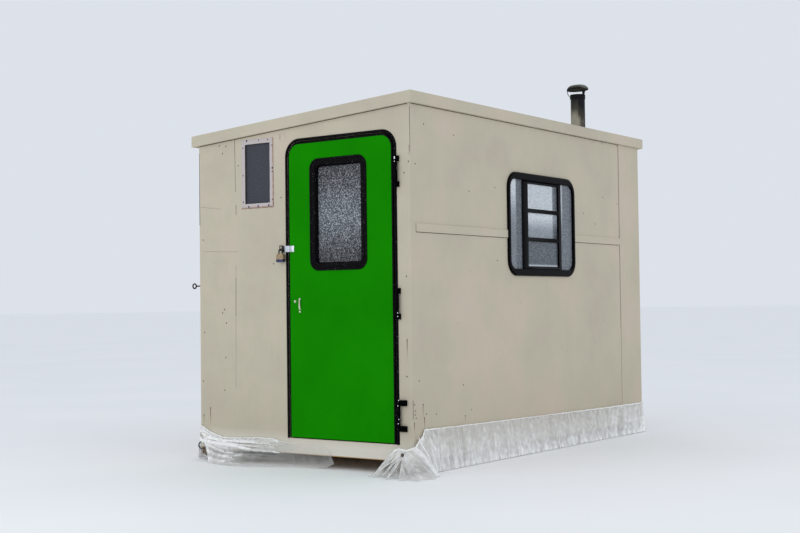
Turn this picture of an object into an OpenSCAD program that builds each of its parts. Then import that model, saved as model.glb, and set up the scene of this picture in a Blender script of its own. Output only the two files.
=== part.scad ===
// Ice fishing hut: a plywood-sheathed timber box on two runners, with a shed roof,
// a hinged door at the front, a window in each long side and a stove pipe.
// Millimetres. X to the right seen from the front, Y to the back, Z up.
// The origin is at the middle of the footprint, on the ground.

/* [Hut body] */
// Outside width over the wall sheets
hut_w = 1550; // [1450:10:1900]
// Outside length over the wall sheets, front to back
hut_l = 2740; // [2700:10:3200]
// Height of the roof's high edge above the bottom of the wall sheets
roof_top_h = 1964; // [1940:2:2200]
// Fall of the roof towards the left, in degrees
roof_slope = 4; // [2:0.5:4.5]
// Height of the runners under the floor
runner_h = 70; // [60:1:110]
// Width of the runners
runner_w = 89; // [64:1:120]

/* [Timber and sheets] */
// Thickness of the wall sheets
sheet_t = 9.5; // [6:0.5:14]
// Thickness of the floor and roof decks
deck_t = 12; // [9:0.5:19]
// Narrow side of the framing timber
stud_t = 38; // [30:1:45]
// Depth of the wall studs from the sheet to the room
stud_d = 38; // [30:1:64]
// Height of the floor joists and rafters
joist_h = 64; // [50:1:90]
// Number of floor joists
joist_count = 8; // [7:1:10]
// Number of rafters
rafter_count = 5; // [5:1:6]
// Height of the boards round the roof's edge
fascia_h = 64; // [50:1:90]
// Thickness of the boards round the roof's edge
fascia_t = 19; // [12:1:25]
// Overhang of the roof deck past the left and back walls
eave = 25; // [10:1:60]
// Thickness of the roof covering
cover_t = 3; // [2:0.5:5]

/* [Door] */
// Width over the wall gasket of the doorway
door_total_w = 782; // [700:2:820]
// Depth of the top of the wall gasket below the roof's high edge
door_head_gap = 190; // [180:2:260]
// Height of the wall board under the doorway
sill_h = 88; // [80:1:120]
// Distance from the gasket to the right corner of the wall
door_corner_gap = 88; // [80:1:120]
// Width of the rubber gasket on the wall
gasket_w = 16; // [10:1:22]
// Thickness of the rubber gasket on the wall
gasket_t = 8; // [4:0.5:8]
// Gap between the door's edge and the doorway
door_gap = 7; // [6:0.5:9]
// Width of the rubber edging on the door
edging_w = 10; // [6:1:14]
// Radius of the door's upper corners, at the gasket
door_r = 100; // [70:1:130]
// Thickness of the door
door_t = 30; // [22:1:34]
// How far the door stands proud of the wall
door_proud = 6; // [3:0.5:8]

/* [Door window] */
// Width over the rubber surround
pane_total_w = 402; // [300:2:460]
// Height over the rubber surround
pane_total_h = 627; // [500:2:700]
// Distance from the top of the wall gasket down to the surround
pane_head_gap = 123; // [100:1:180]
// Distance from the surround to the door's hinge side
pane_edge_gap = 165; // [120:1:200]
// Width of the rubber surround
surround_w = 47; // [25:1:50]
// Radius of the surround's corners
surround_r = 60; // [45:1:90]

/* [Side windows] */
// Width of the window over its frame
window_w = 810; // [700:2:900]
// Height of the window over its frame
window_h = 619; // [500:2:700]
// Distance from the front corner to the window
window_from_front = 977; // [940:2:1100]
// Depth of the window's upper edge below the roof's high edge
window_head_gap = 352; // [320:2:420]
// Width of the window frame's upright sides
window_frame_w = 22; // [16:1:34]
// Height of the window frame's head and sill
window_rail_w = 42; // [30:1:55]
// How far the window's frame stands proud of the wall
window_proud = 15; // [8:1:20]
// Radius of the window's corners
window_r = 96; // [64:1:110]
// Width of the sash's upright nearest the door
sash_near_w = 66; // [40:1:80]
// Width of the sash's other upright
sash_w = 34; // [24:1:45]
// Height of the sash's top and bottom rails
sash_rail_w = 18; // [12:1:30]
// Height of the bars across the sash
sash_bar_h = 24; // [14:1:34]
// Distance from the window's side to the middle sash
side_pane_w = 170; // [150:1:200]

/* [Vent window] */
// Width of the vent window over its flange
vent_w = 247; // [200:1:270]
// Height of the vent window over its flange
vent_h = 402; // [300:2:430]
// Width of the vent window's flange
vent_flange_w = 27; // [18:1:34]
// Distance from the vent's flange to the doorway gasket
vent_door_gap = 90; // [60:1:110]
// Depth of the vent's upper edge below the roof's high edge
vent_head_gap = 165; // [160:1:300]

/* [Stove pipe] */
// Outside radius of the pipe
pipe_r = 48; // [38:1:60]
// Wall of the pipe
pipe_wall = 1; // [0.6:0.1:2]
// Height of the pipe's top above the roof's high edge
pipe_rise_h = 270; // [200:5:500]
// Length of the pipe below the rafters
pipe_below = 120; // [60:5:300]
// Distance from the right wall to the pipe's axis
pipe_from_right = 190; // [150:5:300]
// Outside radius of the rain cap
cap_r = 73; // [70:1:100]
// Height of the rain cap's dome
cap_h = 36; // [30:1:50]
// Open height between the pipe and the rain cap
cap_gap = 32; // [20:1:60]

/* [Plastic skirt] */
// Height of the skirt's top edge above the wall's bottom edge, at the middle of a long side
skirt_top = 130; // [100:2:150]
// Spread of the skirt on the ground along the long sides
skirt_foot = 28; // [16:1:60]
// Spread of the skirt on the ground along the front and the back
skirt_spread = 170; // [60:1:200]
// Length of the front that the skirt leaves open, up to the right corner
skirt_front_gap = 525; // [500:5:900]
// Reach of the gathered corner's longest fold over the ground
gather_reach = 260; // [200:5:320]
// Thickness of the bunched plastic
skirt_t = 6; // [4:0.5:10]

/* [Hidden] */

// Roundness of the curved outlines
$fn = 48;
// Overrun of every cut past the faces that it goes through
over = 2;
// Clearance between pieces of one wall that meet end to end
seat = 0.3;

// Main places
right_x = hut_w / 2;
front_y = -hut_l / 2;
back_y = hut_l / 2;
base_z = runner_h;
floor_z = base_z + joist_h + deck_t;
inner_x = right_x - sheet_t;
inner_y = back_y - sheet_t;
room_x = inner_x - stud_d;
room_y = inner_y - stud_d;
fall = tan(roof_slope);

// Heights of the roof's layers, as depths below its top
cover_depth = cover_t;
sheet_depth = cover_t + deck_t;
wall_depth = sheet_depth + seat;
rafter_depth = wall_depth + joist_h;
plate_top_depth = rafter_depth + seat;
plate_depth = plate_top_depth + stud_t;
stud_top_depth = plate_depth + seat;

// Height of a roof layer at a place across the hut
function roof_z(x, depth) = base_z + roof_top_h - depth - (right_x - x) * fall;

// Roof outline
roof_left_x = -right_x - eave;
roof_back_y = back_y + eave;

// Floor frame
joist_step = (hut_l - 2 * sheet_t - stud_t) / (joist_count - 1);
nose_l = runner_h;
runner_inset = sheet_t;

// Rafters
rafter_step = (hut_l - 2 * sheet_t - stud_t) / (rafter_count - 1);

// Sheets of the long sides
end_strip_w = 302;
end_lath_t = 3;
lower_sheet_h = 1219;
side_seam_y = back_y - end_strip_w;
side_seam_z = base_z + lower_sheet_h;
back_stud_shares = [-0.25, 0, 0.25];

// Doorway
gasket_x0 = right_x - door_corner_gap - door_total_w;
opening_x0 = gasket_x0 + gasket_w;
opening_x1 = right_x - door_corner_gap - gasket_w;
opening_w = opening_x1 - opening_x0;
opening_z0 = base_z + sill_h;
door_total_top = roof_top_h - door_head_gap;
opening_z1 = base_z + door_total_top - gasket_w;
opening_h = opening_z1 - opening_z0;
opening_r = door_r - gasket_w;
edging_w_all = opening_w - 2 * door_gap;
edging_h_all = opening_h - 2 * door_gap;
edging_r = opening_r - door_gap;
panel_w = edging_w_all - 2 * edging_w;
panel_h = edging_h_all - edging_w;
panel_r = edging_r - edging_w;
door_x = (opening_x0 + opening_x1) / 2;
panel_x0 = door_x - panel_w / 2;
panel_x1 = door_x + panel_w / 2;
panel_z0 = opening_z0 + door_gap;
door_face_y = front_y - door_proud;
door_back_y = door_face_y + door_t;
stop_clear = 6;
stop_lap = 14;
threshold_t = 12;

// Door window
pane_x1 = panel_x1 - pane_edge_gap;
pane_x = pane_x1 - pane_total_w / 2;
pane_z = base_z + door_total_top - pane_head_gap - pane_total_h / 2;
surround_lip = 14;
surround_proud = 5;
pane_hole_w = pane_total_w - 2 * surround_lip;
pane_hole_h = pane_total_h - 2 * surround_lip;
pane_hole_r = surround_r - surround_lip;
pane_corner_r = max(surround_r - surround_w, surround_lip);
glass_t = 4;

// Hinges: axis just outside the wall, beside the gasket
pin_r = 3.5;
pin_fit = 0.05;
knuckle_r = 8;
knuckle_l = 102;
lug_l = 31;
lug_gap = 1.5;
lug_reaches = [45, 12, 12];
lug_t = 15;
pin_side = 6;
pin_out = 16;
pin_x = right_x - door_corner_gap + pin_side;
pin_y = front_y - pin_out;
leaf_t = 4.5;
leaf_set_back = 4;
leaf_inset = 6;
leaf_y0 = pin_y - leaf_set_back;
hinge_height_shares = [0.1364, 0.4707, 0.8681];

// Handle and lock
handle_l = 61;
handle_w = 11;
handle_stand = 22;
handle_inset = 72;
handle_height_share = 0.474;
handle_x = panel_x0 + handle_inset;
handle_z = base_z + door_total_top * handle_height_share;
key_r = 8;
key_h = 6;
key_side = 35;
key_rise = 14;
keeper_r = 6;
keeper_drop = 44;

// Hasp and staple
hasp_height_share = 0.6497;
hasp_z = base_z + door_total_top * hasp_height_share;
hasp_h = 35;
hasp_t = 2.5;
hasp_leaf_w = 22;
hasp_strap_w = 40;
hasp_knuckle_r = 4;
hasp_inset = 10;
hasp_clear = 6;
hasp_x = panel_x0 + hasp_inset;
hasp_y = front_y - gasket_t - hasp_clear;
loop_r = 2.5;
loop_w = 26;
loop_out = 28;
loop_rise = 6;
staple_w = 20;
staple_gap = 26;
staple_x = hasp_x - hasp_strap_w - staple_gap;
shackle_r = 4;
shackle_w = 26;
lock_w = 50;
lock_h = 47;
lock_d = 20;
lock_gap = 8.5;

// Eye screws
eye_r = 14;
eye_wire_r = 4;
eye_stand = 10;
left_eye_stand = 48;
left_eye_share = 0.487;
left_eye_z = base_z + roof_top_h * left_eye_share;
left_eye_from_front = 16;
back_eye_share = 0.352;
back_eye_z = base_z + roof_top_h * back_eye_share;
back_eye_from_right = 60;

// Tow ring on the front wall's left corner
tow_r = 21;
tow_wire_r = 4;
tow_stem_r = 3.2;
tow_out = 22;
tow_turn = 32;
tow_side = 29;
tow_x = -right_x + tow_side;
tow_rise = 34.5;
tow_top_z = base_z + tow_rise;

// Roof fittings
flashing_w = 210;
flashing_t = 1.5;
flashing_collar_h = 45;
collar_t = 2;
pipe_room = 6;
pipe_bay_share = 0.285;
pipe_x = right_x - pipe_from_right;
last_rafter_y = inner_y - stud_t / 2;
pipe_y = last_rafter_y - rafter_step * (1 - pipe_bay_share);
pipe_top_z = base_z + roof_top_h + pipe_rise_h;
pipe_foot_z = roof_z(pipe_x, rafter_depth) - pipe_below;
ring_t = 3;
ring_h = 29;
cap_t = 1.5;
cap_rim_z = pipe_top_z + cap_gap;

// Outline of the rain cap from the rim to the middle, as shares of its radius and height
cap_shares = [[1, 0], [1, 0.2], [0.93, 0.4], [0.82, 0.66], [0.7, 0.85], [0.54, 0.96], [0.3, 0.99],
    [0, 1]];

// Cap legs: turned places, section, and the bend as shares of the way out and the way up
leg_turns = [86, 216, 338];
leg_w = 14;
leg_t = 2;
leg_clear = 0.3;
leg_shares = [[0, 0], [0.45, 0.16], [0.8, 0.42], [1, 0.75], [1, 1]];

// Window and vent details
window_hole_w = window_w - window_frame_w;
window_hole_h = window_h - window_rail_w;
window_hole_r = window_r - window_frame_w / 2;
window_inner_w = window_w - 2 * window_frame_w;
window_inner_h = window_h - 2 * window_rail_w;
window_inner_r = window_r - window_rail_w;
window_y = front_y + window_from_front + window_w / 2;
window_z = base_z + roof_top_h - window_head_gap - window_h / 2;
window_depth = sheet_t + stud_d;
flange_t = 1.5;
batten_h = 45;
batten_t = 6;
batten_lap = 2;
batten_z = side_seam_z - batten_lap;
batten_from_front = 45;

// Extrudes an outline drawn in X and Z between two places along Y
module across_y(y0, y1) {
    translate([0, y1, 0]) rotate([90, 0, 0]) linear_extrude(y1 - y0) children();
}

// Extrudes an outline drawn in Y and Z between two places along X
module across_x(x0, x1) {
    translate([x0, 0, 0]) rotate([90, 0, 90]) linear_extrude(x1 - x0) children();
}

// A block between two corners
module block(low, high) {
    translate(low) cube(high - low);
}

// A rectangle with four round corners, about the origin
module round_rect(w, h, r) {
    square([w - 2 * r, h], center = true);
    square([w, h - 2 * r], center = true);
    for (sx = [-1, 1], sy = [-1, 1])
        translate([sx * (w / 2 - r), sy * (h / 2 - r)]) circle(r);
}

// An arched outline: square at the bottom, round upper corners, from its lower middle
module door_outline(w, h, r) {
    translate([-w / 2, 0]) square([w, h - r]);
    translate([-w / 2 + r, 0]) square([w - 2 * r, h]);
    for (side = [-1, 1])
        translate([side * (w / 2 - r), h - r]) circle(r);
}

// A piece of an end wall, cut off under the roof deck
module end_sheet(x0, x1, z0) {
    polygon([[x0, z0], [x1, z0], [x1, roof_z(x1, wall_depth)], [x0, roof_z(x0, wall_depth)]]);
}

// A sloping layer of the roof, between two places across the hut
module roof_layer(x0, x1, depth0, depth1) {
    polygon([[x0, roof_z(x0, depth1)], [x1, roof_z(x1, depth1)],
        [x1, roof_z(x1, depth0)], [x0, roof_z(x0, depth0)]]);
}

// Runners with cut noses at both ends
module runner(x0) {
    across_x(x0, x0 + runner_w)
        polygon([[front_y + nose_l, 0], [back_y - nose_l, 0], [back_y, runner_h / 2],
            [back_y, runner_h], [front_y, runner_h], [front_y, runner_h / 2]]);
}

module runner_left() {
    color("#8a7355") runner(-right_x + runner_inset);
}

module runner_right() {
    color("#8a7355") runner(right_x - runner_inset - runner_w);
}

module floor_joists() {
    color("#b49a6c")
        for (i = [0 : joist_count - 1])
            translate([-inner_x, -inner_y + i * joist_step, base_z])
                cube([2 * inner_x, stud_t, joist_h]);
}

module floor_deck() {
    color("#c2a878")
        block([-inner_x, -inner_y, floor_z - deck_t], [inner_x, inner_y, floor_z]);
}

// Bottom and top plates of the four walls
module wall_plates() {
    color("#b49a6c") {
        for (side = [-1, 1]) {
            x0 = side > 0 ? room_x : -inner_x;
            block([x0, -inner_y, floor_z], [x0 + stud_d, inner_y, floor_z + stud_t]);
            across_y(-inner_y, inner_y)
                roof_layer(x0, x0 + stud_d, plate_top_depth, plate_depth);
        }
        block([-room_x + seat, room_y, floor_z], [room_x - seat, inner_y, floor_z + stud_t]);
        block([-room_x + seat, -inner_y, floor_z],
            [opening_x0 - stud_t - seat, -room_y, floor_z + stud_t]);
    }
}

// One post from the bottom plate, or the floor, to the sloping plate or rafter
module post(x, y, w, d, z0, depth) {
    across_y(y, y + d)
        polygon([[x, z0], [x + w, z0], [x + w, roof_z(x + w, depth)], [x, roof_z(x, depth)]]);
}

module wall_studs() {
    plate_z = floor_z + stud_t;
    window_y0 = window_y - window_hole_w / 2;
    window_y1 = window_y + window_hole_w / 2;
    color("#b49a6c") {
        for (x = [-inner_x, room_x]) {
            for (y = [-inner_y, window_y0 - stud_t, window_y1, side_seam_y - stud_t / 2,
                    inner_y - stud_t])
                post(x, y, stud_d, stud_t, plate_z, stud_top_depth);
        }
        for (share = back_stud_shares)
            post(hut_w * share - stud_t / 2, room_y, stud_t, stud_d, plate_z, plate_top_depth);
        post(opening_x0 - stud_t, -inner_y, stud_t, stud_d, floor_z, plate_top_depth);
        post(opening_x1, -inner_y, min(stud_t, room_x - opening_x1 - seat), stud_d, floor_z,
            plate_top_depth);
        block([opening_x0 + seat, -inner_y, opening_z1 + stop_lap],
            [opening_x1 - seat, -room_y, opening_z1 + stop_lap + stud_t]);
    }
}

// Bars above and below each side window
module window_framing() {
    y0 = window_y - window_hole_w / 2;
    y1 = window_y + window_hole_w / 2;
    z0 = window_z - window_hole_h / 2;
    z1 = window_z + window_hole_h / 2;
    color("#b49a6c")
        for (x = [-inner_x, room_x]) {
            block([x, y0, z0 - stud_t], [x + stud_d, y1, z0]);
            block([x, y0, z1], [x + stud_d, y1, z1 + stud_t]);
        }
}

module rafters() {
    color("#b49a6c")
        for (i = [0 : rafter_count - 1]) {
            y = -inner_y + i * rafter_step;
            across_y(y, y + stud_t) roof_layer(-inner_x, inner_x, wall_depth, rafter_depth);
        }
}

// The upright hole for the stove pipe through the roof
module pipe_hole(extra) {
    translate([pipe_x, pipe_y, pipe_foot_z]) cylinder(r = pipe_r + extra, h = pipe_top_z);
}

module roof_deck() {
    color("#c2a878")
        difference() {
            across_y(front_y, roof_back_y) roof_layer(roof_left_x, right_x, cover_depth, sheet_depth);
            pipe_hole(pipe_room);
        }
}

module roof_covering() {
    color("#5b5d5c")
        difference() {
            across_y(front_y, roof_back_y) roof_layer(roof_left_x, right_x, 0, cover_depth);
            pipe_hole(pipe_room);
        }
}

// Boards over the front and back edges of the roof
module end_fascias() {
    color("#b7b19c")
        for (y = [front_y - fascia_t, roof_back_y])
            across_y(y, y + fascia_t)
                roof_layer(roof_left_x - fascia_t, right_x + fascia_t, 0, fascia_h);
}

// Boards over the left and right edges of the roof
module side_fascias() {
    color("#b7b19c")
        for (x = [roof_left_x - fascia_t, right_x])
            across_y(front_y, roof_back_y) roof_layer(x, x + fascia_t, 0, fascia_h);
}

vent_x = gasket_x0 - vent_door_gap - vent_w / 2;
vent_z = base_z + roof_top_h - vent_head_gap - vent_h / 2;
vent_hole_w = vent_w - 2 * vent_flange_w;
vent_hole_h = vent_h - 2 * vent_flange_w;

module front_wall_left() {
    color("#b9b3a0")
        across_y(front_y, front_y + sheet_t)
            difference() {
                end_sheet(-right_x, opening_x0, base_z);
                translate([vent_x, vent_z])
                    square([vent_hole_w, vent_hole_h], center = true);
            }
}

module front_wall_header() {
    color("#b9b3a0")
        across_y(front_y, front_y + sheet_t)
            difference() {
                end_sheet(opening_x0, opening_x1, opening_z1 - opening_r);
                translate([door_x, opening_z0]) door_outline(opening_w, opening_h, opening_r);
            }
}

module front_wall_right() {
    color("#b9b3a0")
        across_y(front_y, front_y + sheet_t) end_sheet(opening_x1, right_x, base_z);
}

module front_wall_sill() {
    color("#bdb7a4")
        block([opening_x0, front_y, base_z], [opening_x1, front_y + sheet_t, opening_z0]);
}

module back_wall() {
    color("#b9b3a0")
        across_y(back_y - sheet_t, back_y) end_sheet(-right_x, right_x, base_z);
}

// The hole of a side window, drawn in Y and Z
module window_hole() {
    translate([window_y, window_z])
        round_rect(window_hole_w, window_hole_h, window_hole_r);
}

// A piece of a long side with the window cut out; side is 1 on the right, -1 on the left
module side_sheet(side, y0, y1, z0, z1) {
    x0 = side > 0 ? inner_x : -right_x;
    across_x(x0, x0 + sheet_t)
        difference() {
            translate([y0, z0]) square([y1 - y0, z1 - z0]);
            window_hole();
        }
}

// Top of a long side's sheet under the roof deck
right_sheet_top = roof_z(inner_x, wall_depth);
left_sheet_top = roof_z(-right_x, wall_depth);
right_lath_top = roof_z(right_x, fascia_h) - seat;
left_lath_top = roof_z(-right_x - end_lath_t, wall_depth);

module right_wall_lower() {
    color("#aea792") side_sheet(1, -inner_y, side_seam_y, base_z, side_seam_z);
}

module right_wall_upper() {
    color("#aea792") side_sheet(1, -inner_y, side_seam_y, side_seam_z, right_sheet_top);
}

module right_wall_end() {
    color("#aea792") {
        union() {
            side_sheet(1, side_seam_y, inner_y, base_z, right_sheet_top);
            block([right_x - sheet_t / 2, side_seam_y, base_z],
                [right_x + end_lath_t, inner_y, right_lath_top]);
        }
    }
}

module left_wall_lower() {
    color("#aea792") side_sheet(-1, -inner_y, side_seam_y, base_z, side_seam_z);
}

module left_wall_upper() {
    color("#aea792") side_sheet(-1, -inner_y, side_seam_y, side_seam_z, left_sheet_top);
}

module left_wall_end() {
    color("#aea792") {
        union() {
            side_sheet(-1, side_seam_y, inner_y, base_z, left_sheet_top);
            block([-right_x - end_lath_t, side_seam_y, base_z],
                [-right_x + sheet_t / 2, inner_y, left_lath_top]);
        }
    }
}

// Cover battens over the long sides' level joint, before and behind each window
module side_battens() {
    color("#b2ab97")
        for (x = [-right_x - batten_t, right_x]) {
            block([x, front_y + batten_from_front, batten_z],
                [x + batten_t, window_y - window_w / 2, batten_z + batten_h]);
            block([x, window_y + window_w / 2, batten_z],
                [x + batten_t, side_seam_y, batten_z + batten_h]);
        }
}

// Runs a window piece on both long sides; depths count inwards from the wall's face
module both_windows(depth0, depth1) {
    across_x(right_x - depth1, right_x - depth0) children();
    across_x(-right_x + depth0, -right_x + depth1) children();
}

module window_frames() {
    color("#17171a")
        union() {
            both_windows(-window_proud, 0)
                translate([window_y, window_z]) difference() {
                    round_rect(window_w, window_h, window_r);
                    round_rect(window_inner_w, window_inner_h, window_inner_r);
                }
            both_windows(0, window_depth)
                translate([window_y, window_z]) difference() {
                    round_rect(window_hole_w, window_hole_h, window_hole_r);
                    round_rect(window_inner_w, window_inner_h, window_inner_r);
                }
        }
}

// Middle sash with two level bars, seated between the frame's head and sill
sash_total_w = window_w - 2 * side_pane_w;
sash_total_h = window_inner_h;
lite_w = sash_total_w - sash_near_w - sash_w;
lite_side = (sash_near_w - sash_w) / 2;
lite_count = 3;
lite_h = (sash_total_h - 2 * sash_rail_w - (lite_count - 1) * sash_bar_h) / lite_count;
sash_depth = 14;

module window_sashes() {
    color("#1b1b1e")
        both_windows(-sash_depth / 2, sash_depth / 2)
            translate([window_y, window_z]) difference() {
                square([sash_total_w, sash_total_h], center = true);
                for (i = [-1, 0, 1])
                    translate([lite_side, i * (lite_h + sash_bar_h)])
                        square([lite_w, lite_h], center = true);
            }
}

// One sheet of glass behind each sash and one in each side light
module window_glass() {
    side_w = side_pane_w - window_frame_w;
    side_y = sash_total_w / 2 + side_w / 2;
    color("#8e9aa0", 0.5) {
        both_windows(sash_depth / 2, sash_depth / 2 + glass_t)
            translate([window_y, window_z])
                square([sash_total_w - sash_w, sash_total_h], center = true);
        both_windows(-glass_t / 2, glass_t / 2)
            for (end = [-1, 1])
                translate([window_y + end * side_y, window_z])
                    intersection() {
                        square([side_w, sash_total_h], center = true);
                        translate([-end * side_y, 0])
                            round_rect(window_inner_w - 2 * seat, window_inner_h - 2 * seat,
                                window_inner_r);
                    }
    }
}

module vent_frame() {
    color("#c9bcae") {
        across_y(front_y - flange_t, front_y)
            translate([vent_x, vent_z]) difference() {
                square([vent_w, vent_h], center = true);
                square([vent_hole_w - 2 * flange_t, vent_hole_h - 2 * flange_t], center = true);
            }
        across_y(front_y, front_y + sheet_t + stud_d / 2)
            translate([vent_x, vent_z]) difference() {
                square([vent_hole_w, vent_hole_h], center = true);
                square([vent_hole_w - 2 * flange_t, vent_hole_h - 2 * flange_t], center = true);
            }
    }
}

module vent_screen() {
    color("#2a2b2e")
        across_y(front_y + sheet_t, front_y + sheet_t + flange_t)
            translate([vent_x, vent_z])
                square([vent_hole_w - 2 * flange_t, vent_hole_h - 2 * flange_t], center = true);
}

// Rubber gasket on the wall, on the two sides and the top of the doorway
module door_gasket() {
    color("#141416")
        across_y(front_y - gasket_t, front_y)
            translate([door_x, opening_z0]) difference() {
                door_outline(door_total_w, opening_h + gasket_w, door_r);
                translate([0, -over]) door_outline(opening_w, opening_h + over, opening_r);
            }
}

// Strips on the studs that the closed door shuts against
module door_stops() {
    y0 = door_back_y + stop_clear;
    y1 = -room_y;
    color("#b49a6c") {
        block([opening_x0, y0, floor_z + threshold_t],
            [opening_x0 + stop_lap, y1, opening_z1 - stop_lap - seat]);
        block([opening_x1 - stop_lap, y0, floor_z + threshold_t],
            [opening_x1, y1, opening_z1 - stop_lap - seat]);
        block([opening_x0, y0, opening_z1 - stop_lap], [opening_x1, y1, opening_z1 + stop_lap]);
        block([opening_x0, -inner_y, floor_z], [opening_x1, y1, floor_z + threshold_t - seat]);
    }
}

// Wall side of each hinge: two lugs and the pin between them
module hinge_brackets() {
    color("#17171a")
        for (i = [0 : len(hinge_height_shares) - 1]) {
            z_mid = base_z + door_total_top * hinge_height_shares[i];
            span = knuckle_l / 2 + lug_gap;
            for (z = [z_mid - span - lug_l, z_mid + span]) {
                translate([pin_x, pin_y, z]) cylinder(r = knuckle_r, h = lug_l);
                block([pin_x, front_y - lug_t, z], [pin_x + lug_reaches[i], front_y, z + lug_l]);
            }
            translate([pin_x, pin_y, z_mid - span - lug_l])
                cylinder(r = pin_r, h = 2 * (span + lug_l));
        }
}

// Door side of each hinge: a knuckle on the pin, with an arm to the door's edge
module hinge_leaves() {
    leaf_x0 = panel_x1 + leaf_inset;
    color("#1c1c1f")
        for (share = hinge_height_shares) {
            translate([0, 0, base_z + door_total_top * share - knuckle_l / 2])
                difference() {
                    union() {
                        translate([pin_x, pin_y, 0]) cylinder(r = knuckle_r, h = knuckle_l);
                        block([leaf_x0, leaf_y0 - leaf_t / 2, 0], [pin_x, leaf_y0 + leaf_t / 2, knuckle_l]);
                        block([leaf_x0, leaf_y0, 0], [panel_x1 + edging_w, door_face_y, knuckle_l]);
                    }
                    translate([pin_x, pin_y, -over])
                        cylinder(r = pin_r + pin_fit, h = knuckle_l + 2 * over);
                }
        }
}

// Staple plate on the wall with a loop for the padlock
loop_z = hasp_z + loop_rise;
module hasp_staple() {
    color("#c4c7c9")
        union() {
            block([staple_x - staple_w / 2, front_y - hasp_t, hasp_z - hasp_h / 2],
                [staple_x + staple_w / 2, front_y, hasp_z + hasp_h / 2]);
            for (z = [loop_z - loop_w / 2, loop_z + loop_w / 2])
                translate([staple_x, front_y, z]) rotate([90, 0, 0]) cylinder(r = loop_r, h = loop_out);
            translate([staple_x, front_y - loop_out, loop_z - loop_w / 2 - loop_r])
                cylinder(r = loop_r, h = loop_w + 2 * loop_r);
        }
}

// Hinged strap of the hasp, screwed to the door
module hasp_strap() {
    color("#cfd2d4")
        union() {
            block([hasp_x, door_face_y - hasp_t, hasp_z - hasp_h / 2],
                [hasp_x + hasp_leaf_w, door_face_y, hasp_z + hasp_h / 2]);
            translate([hasp_x, hasp_y, hasp_z - hasp_h / 2]) cylinder(r = hasp_knuckle_r, h = hasp_h);
            block([hasp_x, hasp_y, hasp_z - hasp_h / 2],
                [hasp_x + hasp_t, door_face_y, hasp_z + hasp_h / 2]);
            block([hasp_x - hasp_strap_w, hasp_y - hasp_t, hasp_z - hasp_h / 2],
                [hasp_x, hasp_y, hasp_z + hasp_h / 2]);
        }
}

// The shackle hangs on the lower leg of the staple's loop
shackle_y = front_y - loop_out + loop_r + shackle_r + seat;
shackle_bar_z = loop_z - loop_w / 2 + loop_r + shackle_r + seat;
lock_top_z = hasp_z - hasp_h / 2 - lock_gap;

module padlock_body() {
    color("#a98c5a")
        across_y(shackle_y - lock_d / 2, shackle_y + lock_d / 2)
            translate([staple_x, lock_top_z - lock_h / 2]) round_rect(lock_w, lock_h, loop_r);
}

module padlock_shackle() {
    arch_z = shackle_bar_z - shackle_w / 2;
    color("#b9bcc0")
        translate([staple_x, shackle_y, 0])
            union() {
                for (side = [-1, 1])
                    translate([side * shackle_w / 2, 0, lock_top_z])
                        cylinder(r = shackle_r, h = arch_z - lock_top_z);
                translate([0, 0, arch_z]) rotate([90, 0, 0])
                    rotate_extrude(angle = 180) translate([shackle_w / 2, 0]) circle(shackle_r);
            }
}

// An eye screw along +X from the origin, its ring in the X and Z plane
module eye(ring_r, wire_r, stand) {
    rotate([0, 90, 0]) cylinder(r = wire_r, h = stand + wire_r);
    translate([stand + ring_r, 0, 0]) rotate([90, 0, 0])
        rotate_extrude() translate([ring_r, 0]) circle(wire_r);
}

module eye_screws() {
    color("#6f6e6c") {
        translate([-right_x, front_y + left_eye_from_front, left_eye_z]) mirror([1, 0, 0])
            eye(eye_r, eye_wire_r, left_eye_stand);
        translate([right_x - back_eye_from_right, back_y, back_eye_z]) rotate([0, 0, 90])
            eye(eye_r, eye_wire_r, eye_stand);
        union() {
            translate([tow_x, front_y, tow_top_z]) rotate([90, 0, 0]) cylinder(r = tow_stem_r, h = tow_out);
            translate([tow_x, front_y - tow_out, tow_top_z - tow_r]) rotate([90, 0, tow_turn])
                rotate_extrude() translate([tow_r, 0]) circle(tow_wire_r);
        }
    }
}

module door_panel() {
    color("#158003")
        across_y(door_face_y, door_back_y)
            difference() {
                translate([door_x, panel_z0]) door_outline(panel_w, panel_h, panel_r);
                translate([pane_x, pane_z]) round_rect(pane_hole_w, pane_hole_h, pane_hole_r);
            }
}

// Rubber edging round the door's sides and top
module door_edging() {
    color("#121214")
        across_y(door_face_y, door_back_y)
            translate([door_x, panel_z0]) difference() {
                door_outline(edging_w_all, edging_h_all, edging_r);
                translate([0, -over]) door_outline(panel_w, panel_h + over, panel_r);
            }
}

module door_window_surround() {
    inner_w = pane_total_w - 2 * surround_w;
    inner_h = pane_total_h - 2 * surround_w;
    color("#151517")
        union() {
            across_y(door_face_y - surround_proud, door_face_y)
                translate([pane_x, pane_z]) difference() {
                    round_rect(pane_total_w, pane_total_h, surround_r);
                    round_rect(inner_w, inner_h, pane_corner_r);
                }
            across_y(door_face_y, door_back_y)
                translate([pane_x, pane_z]) difference() {
                    round_rect(pane_hole_w, pane_hole_h, pane_hole_r);
                    round_rect(inner_w, inner_h, pane_corner_r);
                }
        }
}

module door_glass() {
    color("#9aa4a8", 0.6)
        across_y(door_face_y + door_t / 2, door_face_y + door_t / 2 + glass_t)
            translate([pane_x, pane_z])
                round_rect(pane_total_w - 2 * surround_w, pane_total_h - 2 * surround_w,
                    pane_corner_r);
}

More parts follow.
